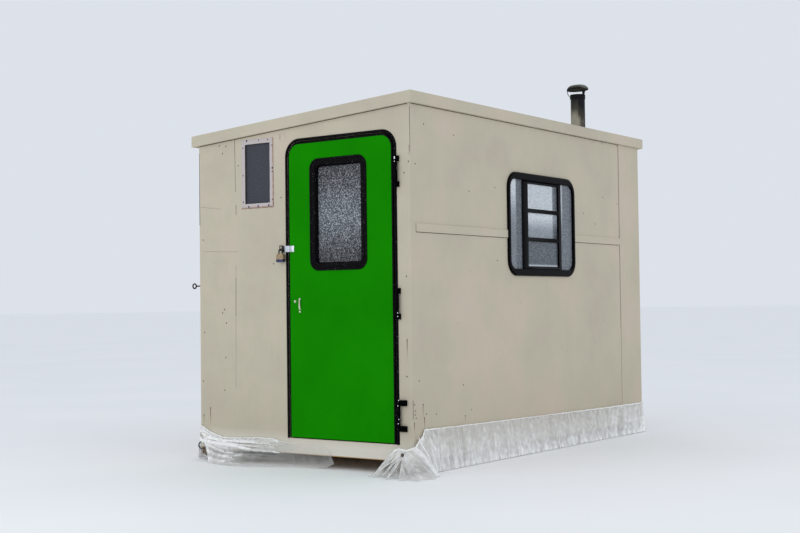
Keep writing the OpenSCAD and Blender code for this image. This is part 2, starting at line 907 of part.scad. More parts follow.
// Upright pull, key cylinder and a small keeper button
module door_handle() {
    color("#c9ccce") {
        for (end = [-1, 1])
            translate([handle_x, door_face_y, handle_z + end * (handle_l - handle_w) / 2])
                rotate([90, 0, 0]) cylinder(r = handle_w / 2, h = handle_stand);
        block([handle_x - handle_w / 2, door_face_y - handle_stand, handle_z - (handle_l - handle_w) / 2],
            [handle_x + handle_w / 2, door_face_y - handle_stand + handle_w,
                handle_z + (handle_l - handle_w) / 2]);
        translate([handle_x - key_side, door_face_y, handle_z + key_rise])
            rotate([90, 0, 0]) cylinder(r = key_r, h = key_h);
        translate([handle_x, door_face_y, handle_z - keeper_drop])
            rotate([90, 0, 0]) cylinder(r = keeper_r, h = key_h);
    }
}

module stove_pipe() {
    color("#6d6258")
        difference() {
            translate([pipe_x, pipe_y, pipe_foot_z])
                cylinder(r = pipe_r, h = pipe_top_z - pipe_foot_z);
            translate([pipe_x, pipe_y, pipe_foot_z - over])
                cylinder(r = pipe_r - pipe_wall, h = pipe_top_z - pipe_foot_z + 2 * over);
        }
}

// Plate on the roof with an upright collar round the pipe
module pipe_flashing() {
    half = flashing_w / 2;
    plate_z = roof_z(pipe_x, -seat);
    color("#8f9192")
        difference() {
            union() {
                across_y(pipe_y - half, pipe_y + half)
                    roof_layer(pipe_x - half, pipe_x + half, -flashing_t - seat, -seat);
                translate([pipe_x, pipe_y, plate_z])
                    cylinder(r = pipe_r + seat + collar_t, h = flashing_collar_h);
            }
            pipe_hole(seat);
            across_y(pipe_y - half, pipe_y + half)
                roof_layer(pipe_x - half, pipe_x + half, -seat, flashing_collar_h);
        }
}

// One cap leg in X and Z: up the clamp ring, outwards in a bend, and up inside the cap's rim
module cap_leg() {
    foot_x = pipe_r + ring_t / 2;
    rim_x = sqrt(pow(cap_r - cap_t, 2) - pow(leg_w / 2, 2)) - leg_clear - leg_t;
    foot_z = pipe_top_z - ring_h / 2;
    bend_h = cap_rim_z - foot_z;
    top_z = cap_rim_z + cap_h * cap_shares[1][1] - cap_t - leg_clear;
    bend = [for (share = leg_shares)
        [foot_x + share[0] * (rim_x - foot_x), foot_z + share[1] * bend_h]];
    last = len(bend) - 1;
    across_y(-leg_w / 2, leg_w / 2)
        polygon(concat([[foot_x, foot_z - ring_h / 2]], bend, [[rim_x, top_z], [rim_x + leg_t, top_z]],
            [for (i = [0 : last]) bend[last - i] + [leg_t, 0]],
            [[foot_x + leg_t, foot_z - ring_h / 2]]));
}

// Clamp ring on the pipe's top, with three bent legs up to the rain cap
module cap_bracket() {
    ring_z = pipe_top_z - ring_h;
    color("#33302e")
        translate([pipe_x, pipe_y, 0])
            union() {
                difference() {
                    translate([0, 0, ring_z]) cylinder(r = pipe_r + ring_t, h = ring_h);
                    translate([0, 0, ring_z - over]) cylinder(r = pipe_r, h = ring_h + 2 * over);
                }
                for (turn = leg_turns)
                    rotate([0, 0, turn]) cap_leg();
            }
}

module rain_cap() {
    outside = [for (share = cap_shares) [share[0] * cap_r, share[1] * cap_h]];
    last = len(outside) - 1;
    color("#4a4643")
        translate([pipe_x, pipe_y, cap_rim_z])
            rotate_extrude()
                polygon(concat(outside, [for (i = [0 : last])
                    [max(0, outside[last - i][0] - cap_t), max(0, outside[last - i][1] - cap_t)]]));
}

// Plastic skirt: knee height as a share of the runners' height, and toe on the ground
skirt_knee_share = 1.5;
skirt_toe_share = 0.4;

// Tops of the strips, as shares of their length and of the skirt's top height
side_top_shares = [[0, 1.23], [0.18, 1.08], [0.5, 1], [1, 0.92]];
end_top_shares = [[0, 0.95], [0.06, 0.9], [0.12, 0.67], [0.2, 0.5], [0.45, 0.58], [0.56, 0.6],
    [0.7, 0.43], [0.93, 0.48], [1, 0.1]];

// Cross section of the skirt in Y and Z, spreading towards -Y from the wall's face
module skirt_section(reach, high) {
    knee = base_z * skirt_knee_share;
    polygon([[0, high], [-skirt_t, high], [-skirt_t, knee], [-reach, skirt_t], [-reach, 0],
        [-reach + reach * skirt_toe_share, 0], [0, base_z]]);
}

// A strip of the skirt along +X from the origin, with its wavy top
module skirt_strip(length, reach, tops) {
    top = [for (share = tops) [share[0] * length, base_z + share[1] * skirt_top]];
    intersection() {
        across_x(0, length) skirt_section(reach, base_z + 2 * skirt_top);
        across_y(-reach - over, over) polygon(concat([[length, 0], [0, 0]], top));
    }
}

// Gathered corner: outline of its folds on the ground about the knot, as shares of the reach
gather_shares = [[-0.85, -0.08], [-0.44, -0.22], [-0.46, -0.46], [-0.22, -0.38], [-0.04, -0.48],
    [0.14, -0.46], [0.35, -0.71], [0.52, -0.5], [0.81, -0.52], [0.76, -0.28], [1, -0.1],
    [0.7, 0.12], [0.45, 0.3], [-0.85, 0.3]];
gather_h = 128;
gather_top_share = 0.3;
gather_in = 70;
gather_out = 35;
gather_back = 60;
wrap_w = 90;
wrap_drop = 14;

module corner_gather() {
    difference() {
        union() {
            translate([right_x - gather_in, front_y - gather_out, 0])
                linear_extrude(gather_h, scale = gather_top_share)
                    polygon([for (share = gather_shares) gather_reach * share]);
            block([right_x - wrap_w, front_y - skirt_t, 0],
                [right_x + skirt_t, front_y + gather_back, gather_h + wrap_drop]);
            block([right_x - skirt_t, front_y, 0],
                [right_x + skirt_t, front_y + gather_back, base_z + skirt_top]);
        }
        block([-right_x, front_y, -over], [right_x, back_y, base_z + 2 * skirt_top]);
        block([-right_x, front_y + gather_back, -over],
            [right_x + gather_reach, back_y, base_z + 2 * skirt_top]);
    }
}

module side_skirts() {
    length = hut_l - gather_back - 2 * seat;
    color("#c9cfd1", 0.8)
        for (turn = [0, 180])
            rotate([0, 0, turn]) difference() {
                translate([right_x, front_y + gather_back + seat, 0]) rotate([0, 0, 90])
                    skirt_strip(length, skirt_foot, side_top_shares);
                if (turn == 0)
                    block([right_x - over, side_seam_y - seat, 0],
                        [right_x + end_lath_t, back_y + over, base_z + 2 * skirt_top]);
                else
                    block([right_x - over, -back_y - over, 0],
                        [right_x + end_lath_t, -side_seam_y + seat, base_z + 2 * skirt_top]);
            }
}

module end_skirts() {
    room = tow_r + 2 * tow_wire_r;
    color("#c9cfd1", 0.8) {
        difference() {
            translate([-right_x - skirt_foot, front_y, 0])
                skirt_strip(hut_w + skirt_foot - skirt_front_gap, skirt_spread, end_top_shares);
            block([tow_x - room - 2 * skirt_foot, front_y - 2 * skirt_spread, tow_top_z - tow_r - room],
                [tow_x + room, front_y - skirt_t - seat, tow_top_z + room]);
            translate([tow_x, front_y + over, tow_top_z]) rotate([90, 0, 0])
                cylinder(r = tow_stem_r + seat, h = tow_out);
        }
        rotate([0, 0, 180]) translate([-right_x - skirt_foot, front_y, 0])
            skirt_strip(hut_w + skirt_foot - gather_reach - wrap_w, skirt_spread, end_top_shares);
    }
}

module skirt_gathers() {
    color("#c9cfd1", 0.8) {
        corner_gather();
        rotate([0, 0, 180]) difference() {
            corner_gather();
            block([right_x - over, front_y + sheet_t - seat, 0],
                [right_x + end_lath_t, front_y + gather_back + over, base_z + 2 * skirt_top]);
        }
    }
}

runner_left();
runner_right();
floor_joists();
floor_deck();
wall_plates();
wall_studs();
window_framing();
rafters();
roof_deck();
roof_covering();
end_fascias();
side_fascias();
front_wall_left();
front_wall_header();
front_wall_right();
front_wall_sill();
back_wall();
right_wall_lower();
right_wall_upper();
right_wall_end();
left_wall_lower();
left_wall_upper();
left_wall_end();
side_battens();
window_frames();
window_sashes();
window_glass();
vent_frame();
vent_screen();
door_gasket();
door_stops();
hinge_brackets();
hasp_staple();
padlock_body();
padlock_shackle();
eye_screws();
door_panel();
door_edging();
door_window_surround();
door_glass();
door_handle();
hinge_leaves();
hasp_strap();
stove_pipe();
pipe_flashing();
cap_bracket();
rain_cap();
end_skirts();
side_skirts();
skirt_gathers();
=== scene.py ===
# Ice fishing hut: painted plywood on two runners, a green door, a stove pipe and a plastic skirt.
import math
import bmesh
import bpy
from mathutils import Matrix, Vector, noise


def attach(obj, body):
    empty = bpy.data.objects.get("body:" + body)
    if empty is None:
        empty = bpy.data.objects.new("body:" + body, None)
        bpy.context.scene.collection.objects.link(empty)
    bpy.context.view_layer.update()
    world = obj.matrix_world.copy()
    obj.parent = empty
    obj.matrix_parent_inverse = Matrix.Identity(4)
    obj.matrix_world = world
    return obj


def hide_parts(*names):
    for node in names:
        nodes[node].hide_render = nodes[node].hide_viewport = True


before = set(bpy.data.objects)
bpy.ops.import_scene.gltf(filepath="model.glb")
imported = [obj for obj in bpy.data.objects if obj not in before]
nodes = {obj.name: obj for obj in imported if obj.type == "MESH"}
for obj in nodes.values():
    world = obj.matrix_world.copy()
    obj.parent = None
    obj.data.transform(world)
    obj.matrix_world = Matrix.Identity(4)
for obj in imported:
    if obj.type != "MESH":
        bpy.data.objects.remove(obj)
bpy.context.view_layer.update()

print("scene: frame loaded,", len(nodes), "nodes")

# Places that several pieces share, in metres
hut = dict(backY=1.37, topZ=2.034, fall=0.0699268, doorX=0.296)
wallX, outRight = 0.775, (1, 0, 0)
front, outFront = -1.37, (0, -1, 0)
doorFace = -1.376

# Camera, light and floor
view = dict(place=(4.774, -6.979, 0.899), right=(0.8089, 0.5878, -0.0125),
            up=(0.0274, -0.0164, 0.9995), lens=58.77)
stove = dict(axis=(0.585, 0.8619), paintedLitSide=(-0.25, -0.968, 0.0))
light = dict(sky="#DDE2EA", skyPower=1.0, keyPower=105, fillPower=95, floor="#FBFBFB")


def toLinear(hexColour):
    parts = []
    for i in (1, 3, 5):
        part = int(hexColour[i:i + 2], 16) / 255
        parts.append(part / 12.92 if part <= 0.04045 else ((part + 0.055) / 1.055) ** 2.4)
    return (*parts, 1)


# Adds one node; feeds maps a socket to another node's output or to a plain value
def addNode(tree, kind, feeds=None, stops=None, **settings):
    node = tree.nodes.new(kind)
    for key, value in settings.items():
        setattr(node, key, value)
    if stops:
        ramp = node.color_ramp
        while len(ramp.elements) < len(stops):
            ramp.elements.new(0.5)
        for element, (place, colour) in zip(ramp.elements, stops):
            element.position = place
            element.color = toLinear(colour) if isinstance(colour, str) else (colour, colour, colour, 1)
    for socket, value in (feeds or {}).items():
        if isinstance(value, bpy.types.NodeSocket):
            tree.links.new(value, node.inputs[socket])
        else:
            node.inputs[socket].default_value = value
    return node


def addNoise(tree, where, scale, detail, **more):
    feeds = {"Vector": where, "Scale": scale, "Detail": detail, **more}
    return addNode(tree, "ShaderNodeTexNoise", feeds).outputs["Fac"]


def addCells(tree, where, scale):
    return addNode(tree, "ShaderNodeTexVoronoi", {"Vector": where, "Scale": scale}).outputs["Distance"]


def addStretch(tree, where, scale):
    return addNode(tree, "ShaderNodeMapping", {"Vector": where, "Scale": scale}).outputs[0]


def addRamp(tree, value, *stops):
    return addNode(tree, "ShaderNodeValToRGB", {"Fac": value}, stops=stops).outputs["Color"]


def addRange(tree, value, fromLow, fromHigh, toLow=0.0, toHigh=1.0):
    feeds = {"Value": value, "From Min": fromLow, "From Max": fromHigh, "To Min": toLow,
             "To Max": toHigh}
    return addNode(tree, "ShaderNodeMapRange", feeds).outputs[0]


def addMath(tree, operation, *values, **settings):
    feeds = dict(enumerate(values))
    return addNode(tree, "ShaderNodeMath", feeds, operation=operation, **settings).outputs[0]


# Mixes two colours, each a socket or a hex colour
def addBlend(tree, share, under, over, blend="MIX"):
    under, over = (toLinear(c) if isinstance(c, str) else c for c in (under, over))
    feeds = {0: share, 6: under, 7: over}
    return addNode(tree, "ShaderNodeMix", feeds, data_type="RGBA", blend_type=blend).outputs[2]


def splitAxes(tree, where):
    return list(addNode(tree, "ShaderNodeSeparateXYZ", {0: where}).outputs)


def addAttribute(tree, name):
    return addNode(tree, "ShaderNodeAttribute", attribute_name=name).outputs["Fac"]


# Gives the shader its colour and, where a height is passed, its bump
def coat(tree, shader, colour, height=None, strength=0.0, distance=0.0):
    tree.links.new(colour, shader.inputs["Base Color"])
    if height:
        bump = addNode(tree, "ShaderNodeBump", {"Strength": strength, "Distance": distance,
                                                "Height": height})
        tree.links.new(bump.outputs[0], shader.inputs["Normal"])


def newMaterial(name, **shaderValues):
    material = bpy.data.materials.new(name)
    material.use_nodes = True
    tree = material.node_tree
    tree.nodes.clear()
    shader = addNode(tree, "ShaderNodeBsdfPrincipled",
                     {key.replace("_", " "): value for key, value in shaderValues.items()})
    addNode(tree, "ShaderNodeOutputMaterial", {"Surface": shader.outputs[0]})
    coords = addNode(tree, "ShaderNodeTexCoord")
    return material, tree, shader, coords.outputs["Object"]


def setCamera():
    right, up = Vector(view["right"]).normalized(), Vector(view["up"])
    back = right.cross(up).normalized()
    up = back.cross(right).normalized()
    data = bpy.data.cameras.new("photoCamera")
    data.lens, data.sensor_width = view["lens"], 36
    data.clip_end = 500
    camera = bpy.data.objects.new("photoCamera", data)
    turn = Matrix((right, up, back)).transposed().to_4x4()
    camera.matrix_world = Matrix.Translation(view["place"]) @ turn
    bpy.context.scene.collection.objects.link(camera)
    bpy.context.scene.camera = camera


def setLight():
    world = bpy.data.worlds.new("overcastSky")
    bpy.context.scene.world = world
    world.use_nodes = True
    sky = world.node_tree.nodes["Background"]
    sky.inputs["Color"].default_value = toLinear(light["sky"])
    sky.inputs["Strength"].default_value = light["skyPower"]
    for name, power, size, place in (("keyPanel", light["keyPower"], 7, (-1.0, -7.5, 3.6)),
                                     ("fillPanel", light["fillPower"], 8, (8.5, 0.5, 3.6))):
        data = bpy.data.lights.new(name, "AREA")
        data.energy, data.size = power, size
        lamp = bpy.data.objects.new(name, data)
        lamp.location = place
        lamp.rotation_euler = (Vector((0, 0, 0.9)) - Vector(place)).to_track_quat("-Z", "Y").to_euler()
        bpy.context.scene.collection.objects.link(lamp)
    bpy.context.scene.view_settings.view_transform = "Standard"


def layFloor():
    half = 200
    mesh = bpy.data.meshes.new("floor")
    mesh.from_pydata([(-half, -half, 0), (half, -half, 0), (half, half, 0), (-half, half, 0)],
                     [], [(0, 1, 2, 3)])
    floor = bpy.data.objects.new("floor", mesh)
    bpy.context.scene.collection.objects.link(floor)
    # Matt pale studio floor: very slight unevenness in tone, no gloss
    material, tree, shader, where = newMaterial("mattStudioFloor", Roughness=0.85)
    clouds = addNoise(tree, where, 0.6, 3.0)
    coat(tree, shader, addRamp(tree, clouds, (0.3, "#F6F7F8"), (0.7, light["floor"])))
    mesh.materials.append(material)


# Exterior paint rolled on plywood: matt, with tone patches, faint grain lines and grime at the
# bottom. Faces turned to the room and the lowest few millimetres stay bare plywood.
def rolledPaint(name, grain, low=0.0):
    material, tree, shader, where = newMaterial(name, Roughness=0.75, Specular_IOR_Level=0.2)
    patches = addNoise(tree, where, 2.2, 5.0, Roughness=0.6)             # clouds of 0.45 m
    tone = addRamp(tree, patches, (0.32, "#BCB3A0"), (0.5, "#C2BAA5"), (0.68, "#CABCAA"))
    stretch = {"upright": (1, 1, 0.035), "level": (0.035, 0.035, 1)}[grain]
    lines = addNoise(tree, addStretch(tree, where, stretch), 160.0, 4.0)      # 6 mm apart
    lineTone = addRamp(tree, lines, (0.3, 0.92), (0.52, 1.0), (0.75, 1.04))
    painted = addBlend(tree, 0.3, tone, lineTone, "MULTIPLY")
    x, y, z = splitAxes(tree, where)
    # Grime: splashes up to 0.3 m over the bottom edge
    splash = addNoise(tree, where, 9.0, 6.0)
    dirty = addMath(tree, "MULTIPLY", addRange(tree, z, 0.55, 0.1, 0.0, 0.3), splash)
    grimy = addBlend(tree, dirty, painted, "#A0957D")
    # Paler over the last 80 mm above the bottom edge
    paler = addBlend(tree, addRange(tree, z, 0.2, 0.12, 0.0, 0.65), grimy, "#E2DED4")
    # Small rust and dirt spots, a few millimetres across
    spots = addRange(tree, addCells(tree, where, 7.0), 0.035, 0.02, 0.0, 0.5)
    spotted = addBlend(tree, spots, paler, "#7A6A55")
    # Bare plywood inside and along the lowest edge
    skinX, skinY = 0.7715, 1.3665
    beyondX = addMath(tree, "GREATER_THAN", addMath(tree, "ABSOLUTE", x), skinX)
    beyondY = addMath(tree, "GREATER_THAN", addMath(tree, "ABSOLUTE", y), skinY)
    outside = addMath(tree, "MAXIMUM", beyondX, beyondY)
    covered = addMath(tree, "MULTIPLY", outside, addMath(tree, "GREATER_THAN", z, low))
    bare = addBlend(tree, 0.5, "#A5804F", lineTone, "MULTIPLY")
    coat(tree, shader, addBlend(tree, covered, bare, spotted), lines, 0.25, 0.0006)
    return material


# Gloss paint sprayed on the door: even saturated green with a faint orange peel
def sprayedGreen(name):
    material, tree, shader, where = newMaterial(name, Roughness=0.5, Specular_IOR_Level=0.012)
    tone = addRamp(tree, addNoise(tree, where, 3.0, 4.0), (0.3, "#107E00"), (0.7, "#148700"))
    coat(tree, shader, tone, addNoise(tree, where, 350.0, 2.0), 0.12, 0.0003)
    return material


# One noise that gives both the tone, through a ramp, and the relief (strength, distance)
def mottled(name, marks, stops, relief, stretch=None, **shaderValues):
    material, tree, shader, where = newMaterial(name, **shaderValues)
    if stretch:
        where = addStretch(tree, where, stretch)
    fleck = addNoise(tree, where, **marks)
    coat(tree, shader, addRamp(tree, fleck, *stops), fleck, *relief)
    return material


# Extruded black rubber: dull black with dusty light specks of 3 mm
def extrudedRubber(name):
    return mottled(name, dict(scale=130.0, detail=5.0, Roughness=0.7),
                   [(0.5, "#050306"), (0.64, "#0A080C"), (0.71, "#A3A5A6")], (0.3, 0.0005),
                   Roughness=0.5, Specular_IOR_Level=0.05)


# Black enamelled metal: semi-gloss black with chips that show pale metal
def blackEnamel(name, chips, rough, gloss=0.02):
    return mottled(name, dict(scale=95.0, detail=4.0, Roughness=0.65),
                   [(0.45, "#020103"), (chips - 0.03, "#060508"), (chips, "#B9BBBC")],
                   (0.2, 0.0004), Roughness=rough, Specular_IOR_Level=gloss)


# Sawn softwood, planed or weathered: growth rings stretched along the board, small cracks
def softwood(name, dark, pale, along, rough=0.75):
    return mottled(name, dict(scale=85.0, detail=6.0, Distortion=0.6),
                   [(0.3, dark), (0.65, pale)], (0.4, 0.001), along, Roughness=rough)


# Rotary cut plywood: broad flame figure with thin dark lines
def plywoodFace(name):
    return mottled(name, dict(scale=22.0, detail=6.0, Distortion=1.4),
                   [(0.3, "#8E6D45"), (0.5, "#B08C5C"), (0.7, "#C4A273")], (0.2, 0.0006),
                   (1, 0.12, 1), Roughness=0.7)


# One tone with soft wear: tarnished metal, moulded plastic, bunched film; also painted shade for open joint
# lines, shadow lines and the knot's hollow
def wearAndShadeTone(name, dark, pale, metallic, rough=0.4, scale=80.0):
    return mottled(name, dict(scale=scale, detail=5.0), [(0.35, dark), (0.65, pale)],
                   (0.15, 0.0004), Metallic=metallic, Roughness=rough)


# Zinc plated steel: bright grey metal with a soft spangle
def zincPlate(name, shade):
    material, tree, shader, where = newMaterial(name, Metallic=1.0, Roughness=0.38)
    coat(tree, shader, addBlend(tree, addCells(tree, where, 260.0), shade, "#E2E5E7"))
    rough = addRange(tree, addNoise(tree, where, 60.0, 3.0), 0.0, 1.0, 0.25, 0.55)
    tree.links.new(rough, shader.inputs["Roughness"])
    return material


# Drawn steel wire: black with rust, worn to dull grey near the ground
def rustyWire(name):
    material, tree, shader, where = newMaterial(name, Metallic=0.7, Roughness=0.6)
    rust = addNoise(tree, where, 140.0, 5.0)
    dark = addRamp(tree, rust, (0.35, "#0E0E10"), (0.55, "#1A1819"), (0.7, "#33241C"))
    pale = addRamp(tree, rust, (0.35, "#3F4143"), (0.55, "#5E6163"), (0.7, "#5F5049"))
    low = addRange(tree, splitAxes(tree, where)[2], 0.3, 0.2)
    coat(tree, shader, addBlend(tree, low, dark, pale), rust, 0.4, 0.0004)
    return material


# Mineral roll roofing: slate grit pressed in bitumen, its grains drawn at 3 mm, worn in patches
def mineralFelt(name):
    material, tree, shader, where = newMaterial(name, Roughness=0.9)
    grit = addCells(tree, where, 330.0)
    tone = addRamp(tree, grit, (0.1, "#77797A"), (0.5, "#5A5C5D"), (0.9, "#3B3D3E"))
    worn = addBlend(tree, addNoise(tree, where, 2.5, 4.0), tone, "#8A8B88")
    coat(tree, shader, worn, grit, 0.6, 0.001)
    return material


# Sooty galvanised sheet: nearly black at the top, olive-grey lower down. Painted light and shade:
# the side turned towards paintedLitSide is kept paler and the far side darker
def sootyShadedSheet(name, topZ, lowZ, dark, mid, pale):
    material, tree, shader, where = newMaterial(name, Metallic=0.2, Roughness=0.6,
                                                Specular_IOR_Level=0.2)
    streaks = addNoise(tree, addStretch(tree, where, (1, 1, 0.18)), 55.0, 5.0)
    fromAxis = addNode(tree, "ShaderNodeVectorMath", {0: where, 1: (*stove["axis"], 0.0)},
                       operation="SUBTRACT")
    facing = addNode(tree, "ShaderNodeVectorMath", {0: fromAxis.outputs[0], 1: stove["paintedLitSide"]},
                     operation="DOT_PRODUCT")
    # Painted side shading: moves the colour towards the top colour on the side turned away from
    # paintedLitSide
    paintedSideShading = addRange(tree, facing.outputs["Value"], 0.012, 0.042, 0.42, 0.0)
    height = addRange(tree, splitAxes(tree, where)[2], lowZ, topZ)
    uneven = addMath(tree, "MULTIPLY_ADD", streaks, 0.5, -0.25)
    sootAndShading = addMath(tree, "ADD", height, addMath(tree, "ADD", uneven, paintedSideShading))
    tone = addRamp(tree, sootAndShading, (0.12, pale), (0.42, mid), (0.85, dark))
    coat(tree, shader, tone, streaks, 0.25, 0.0008)
    return material


# Blown polythene film: hazy and half clear where it lies smooth, white where it is bunched.
# The cover attribute says how much of the light one layer stops.
def polytheneFilm(name, thin="#D6D5D0", folded="#ECEBE7", bunched="#FDFDFB"):
    material, tree, shader, where = newMaterial(name, Roughness=0.35, IOR=1.51,
                                                Specular_IOR_Level=0.35)
    haze = addNoise(tree, where, 38.0, 6.0, Roughness=0.65)              # wrinkles of 25 mm
    uneven = addRange(tree, haze, 0.3, 0.7, 0.86, 1.16)
    held = addMath(tree, "MULTIPLY", addAttribute(tree, "cover"), uneven, use_clamp=True)
    tree.links.new(held, shader.inputs["Alpha"])
    tone = addRamp(tree, held, (0.12, thin), (0.36, folded), (0.62, bunched))
    coat(tree, shader, tone, addNoise(tree, where, 90.0, 4.0), 0.3, 0.0015)
    return material


# Rolled patterned glass: pebbles 3 to 9 mm across, with painted glints and painted shade specks, so it
# glitters.
# The pane's tone attribute is painted light and shade: bright where the sky shows and dark where the room
# does.
def pebbledGlass(name, dark, mid, bright, pebble, glitter):
    material, tree, shader, where = newMaterial(name, Roughness=0.25, IOR=1.52,
                                                Specular_IOR_Level=0.2)
    tone = addAttribute(tree, "tone")
    shade = addRamp(tree, tone, (0.0, dark), (0.5, mid), (1.0, bright))
    sparkle = addNoise(tree, where, pebble * 0.9, 1.0)
    play = addRange(tree, tone, 0.0, 0.8, 0.55 * glitter, glitter)
    # Dark specks of painted shade, then pale painted glints, both strongest where the tone is bright
    dimmed = addBlend(tree, addRange(tree, sparkle, 0.5, 0.36, 0.0, play), shade, "#15151A")
    lit = addBlend(tree, addRange(tree, sparkle, 0.53, 0.68, 0.0, play), dimmed, "#E4E8EC")
    coat(tree, shader, lit, addCells(tree, where, pebble), 0.5, 0.001)
    return material


# Painted sheet flange, pinkish white, rusted through along its right and lower edges; its return
# inside the wall is coloured dark as painted shade in the hole
def rustingFlange(name):
    material, tree, shader, where = newMaterial(name, Roughness=0.6)
    x, y, z = splitAxes(tree, where)
    rough = addNoise(tree, where, 45.0, 5.0)
    edge = addMath(tree, "MAXIMUM", addRange(tree, x, -0.197, -0.184),
                   addRange(tree, z, 1.482, 1.466))
    rust = addMath(tree, "MULTIPLY", edge, rough)
    tone = addRamp(tree, rust, (0.08, "#BDB3B1"), (0.3, "#A98D7C"), (0.6, "#5E4434"))
    # Painted shade: the return inside the wall takes a dark colour
    inside = addMath(tree, "GREATER_THAN", y, -1.3702)
    coat(tree, shader, addBlend(tree, inside, tone, "#2C2926"), rough, 0.25, 0.0006)
    return material


# Woven insect screen: dark threads with pale specks caught in them
def wovenScreen(name):
    material, tree, shader, where = newMaterial(name, Roughness=0.7)
    specks = addNoise(tree, where, 150.0, 4.0, Roughness=0.7)
    tone = addRamp(tree, specks, (0.4, "#2A2B34"), (0.6, "#3E3F48"), (0.68, "#484A52"),
                   (0.73, "#B9BCC2"))
    coat(tree, shader, tone, addCells(tree, where, 400.0), 0.5, 0.001)
    return material


# Rust carried down by rain: brown, fading out along the run's fade attribute
def rustStain(name):
    material, tree, shader, where = newMaterial(name, Roughness=0.8)
    blotch = addNoise(tree, where, 120.0, 4.0)
    cover = addMath(tree, "MULTIPLY", addAttribute(tree, "fade"), blotch)
    tree.links.new(cover, shader.inputs["Alpha"])
    coat(tree, shader, addRamp(tree, blotch, (0.35, "#7A5434"), (0.65, "#9A7550")))
    return material


paint = dict(
    upright=rolledPaint("exteriorPaintOnPlywood", "upright", 0.074),
    level=rolledPaint("exteriorPaintOnBoards", "level"),
    green=sprayedGreen("sprayedDoorPaint"),
    rubber=extrudedRubber("extrudedBlackRubber"),
    frame=blackEnamel("blackEnamelledFrame", 0.75, 0.32, 0.045),
    hinge=blackEnamel("chippedBlackSteel", 0.72, 0.4),
    zinc=zincPlate("zincPlatedSteel", "#DCE5EE"),
    wire=rustyWire("dullSteelWire"),
    stud=softwood("sawnSoftwood", "#A98A5C", "#CDB286", (1, 1, 0.06)),
    joist=softwood("sawnSoftwoodLevel", "#9C7E52", "#C4A878", (0.06, 1, 1)),
    plate=softwood("sawnSoftwoodLong", "#A48557", "#C9AE80", (1, 0.06, 1)),
    runner=softwood("weatheredSawnTimber", "#4A3D2F", "#86705A", (1, 0.06, 1), 0.85),
    plywood=plywoodFace("rotaryCutPlywood"),
    felt=mineralFelt("mineralRollRoofing"),
    flange=rustingFlange("rustingPaintedFlange"),
    screen=wovenScreen("wovenInsectScreen"),
    # Pipe, ring and cap carry painted side shading; the cap's colours are given light first, so its dome
    # top and far side take a painted highlight and its rim painted shade
    pipe=sootyShadedSheet("sootyGalvanisedPipePaintedShade", 2.33, 2.12, "#100F18", "#49463C", "#A39D8A"),
    cap=sootyShadedSheet("sootyCapSteelPaintedLight", 2.366, 2.338, "#6C6C60", "#33322C", "#0D0C0C"),
    ring=sootyShadedSheet("sootyRingSteelPaintedShade", 2.3, 2.2, "#09080A", "#121013", "#1D1A1C"),
    flashing=zincPlate("weatheredGalvanisedFlashing", "#7E8284"),
    brass=wearAndShadeTone("tarnishedLaminatedBrass", "#8C7859", "#C6AE8B", 0.45),
    blueBand=wearAndShadeTone("darkBlueMouldedBand", "#10123A", "#262B63", 0.0, 0.5),
    chrome=wearAndShadeTone("wornChromePlate", "#A9AC8C", "#E2E5CC", 0.4, 0.35),
    film=polytheneFilm("blownPolytheneFilm"),
    pucker=wearAndShadeTone("shadedPolythenePucker", "#6B5F5A", "#9A908B", 0.0, 0.8, 120.0),
    hem=wearAndShadeTone("foldedPolytheneHem", "#E4E3DE", "#FDFDFB", 0.0, 0.45, 60.0),
    darkSteel=wearAndShadeTone("blackenedShackleSteel", "#0C0C0E", "#26272A", 0.5, 0.4, 90.0),
    doorGlass=pebbledGlass("pebbledDoorGlass", "#2B2B30", "#44464B", "#5C626A", 225.0, 0.62),
    sashGlass=pebbledGlass("frostedSashGlass", "#383E45", "#949BA2", "#E6EBEF", 115.0, 0.26),
    stain=rustStain("rustStain"),
    # Door stops coloured near black: painted shade in the gap round the door
    stop=softwood("shadedStopWood", "#0F0D0B", "#231C15", (0.06, 1, 1)),
    shadeStrip=wearAndShadeTone("paintedShadowLine", "#1D1915", "#4B3D2C", 0.0, 0.9, 30.0),
    nail=wearAndShadeTone("rustedNailHead", "#1F1A16", "#5A4E40", 0.2, 0.6, 300.0),
)
print("scene: materials ready")

carriedOver = {
    "upright": ["front_wall_left", "front_wall_header", "front_wall_right", "front_wall_sill",
                "back_wall", "right_wall_lower", "right_wall_upper", "right_wall_end",
                "left_wall_lower", "left_wall_upper", "left_wall_end"],
    "level": ["end_fascias", "side_fascias", "side_battens"],
    "joist": ["floor_joists", "rafters"],
    "plate": ["wall_plates", "window_framing"],
    "stop": ["door_stops"],
    "stud": ["wall_studs"],
    "runner": ["runner_left", "runner_right"],
    "plywood": ["floor_deck", "roof_deck"],
    "felt": ["roof_covering"],
    "green": ["door_panel"],
    "rubber": ["door_edging"],
    "darkSteel": ["padlock_shackle", "hasp_staple"],
    "wire": ["eye_screws"],
    "screen": ["vent_screen"],
    "pipe": ["stove_pipe"],
    "flashing": ["pipe_flashing"],
    "ring": ["cap_bracket"],
}
for finish, names in carriedOver.items():
    for nodeName in names:
        for slotOfNode in nodes[nodeName].material_slots:
            slotOfNode.material = paint[finish]


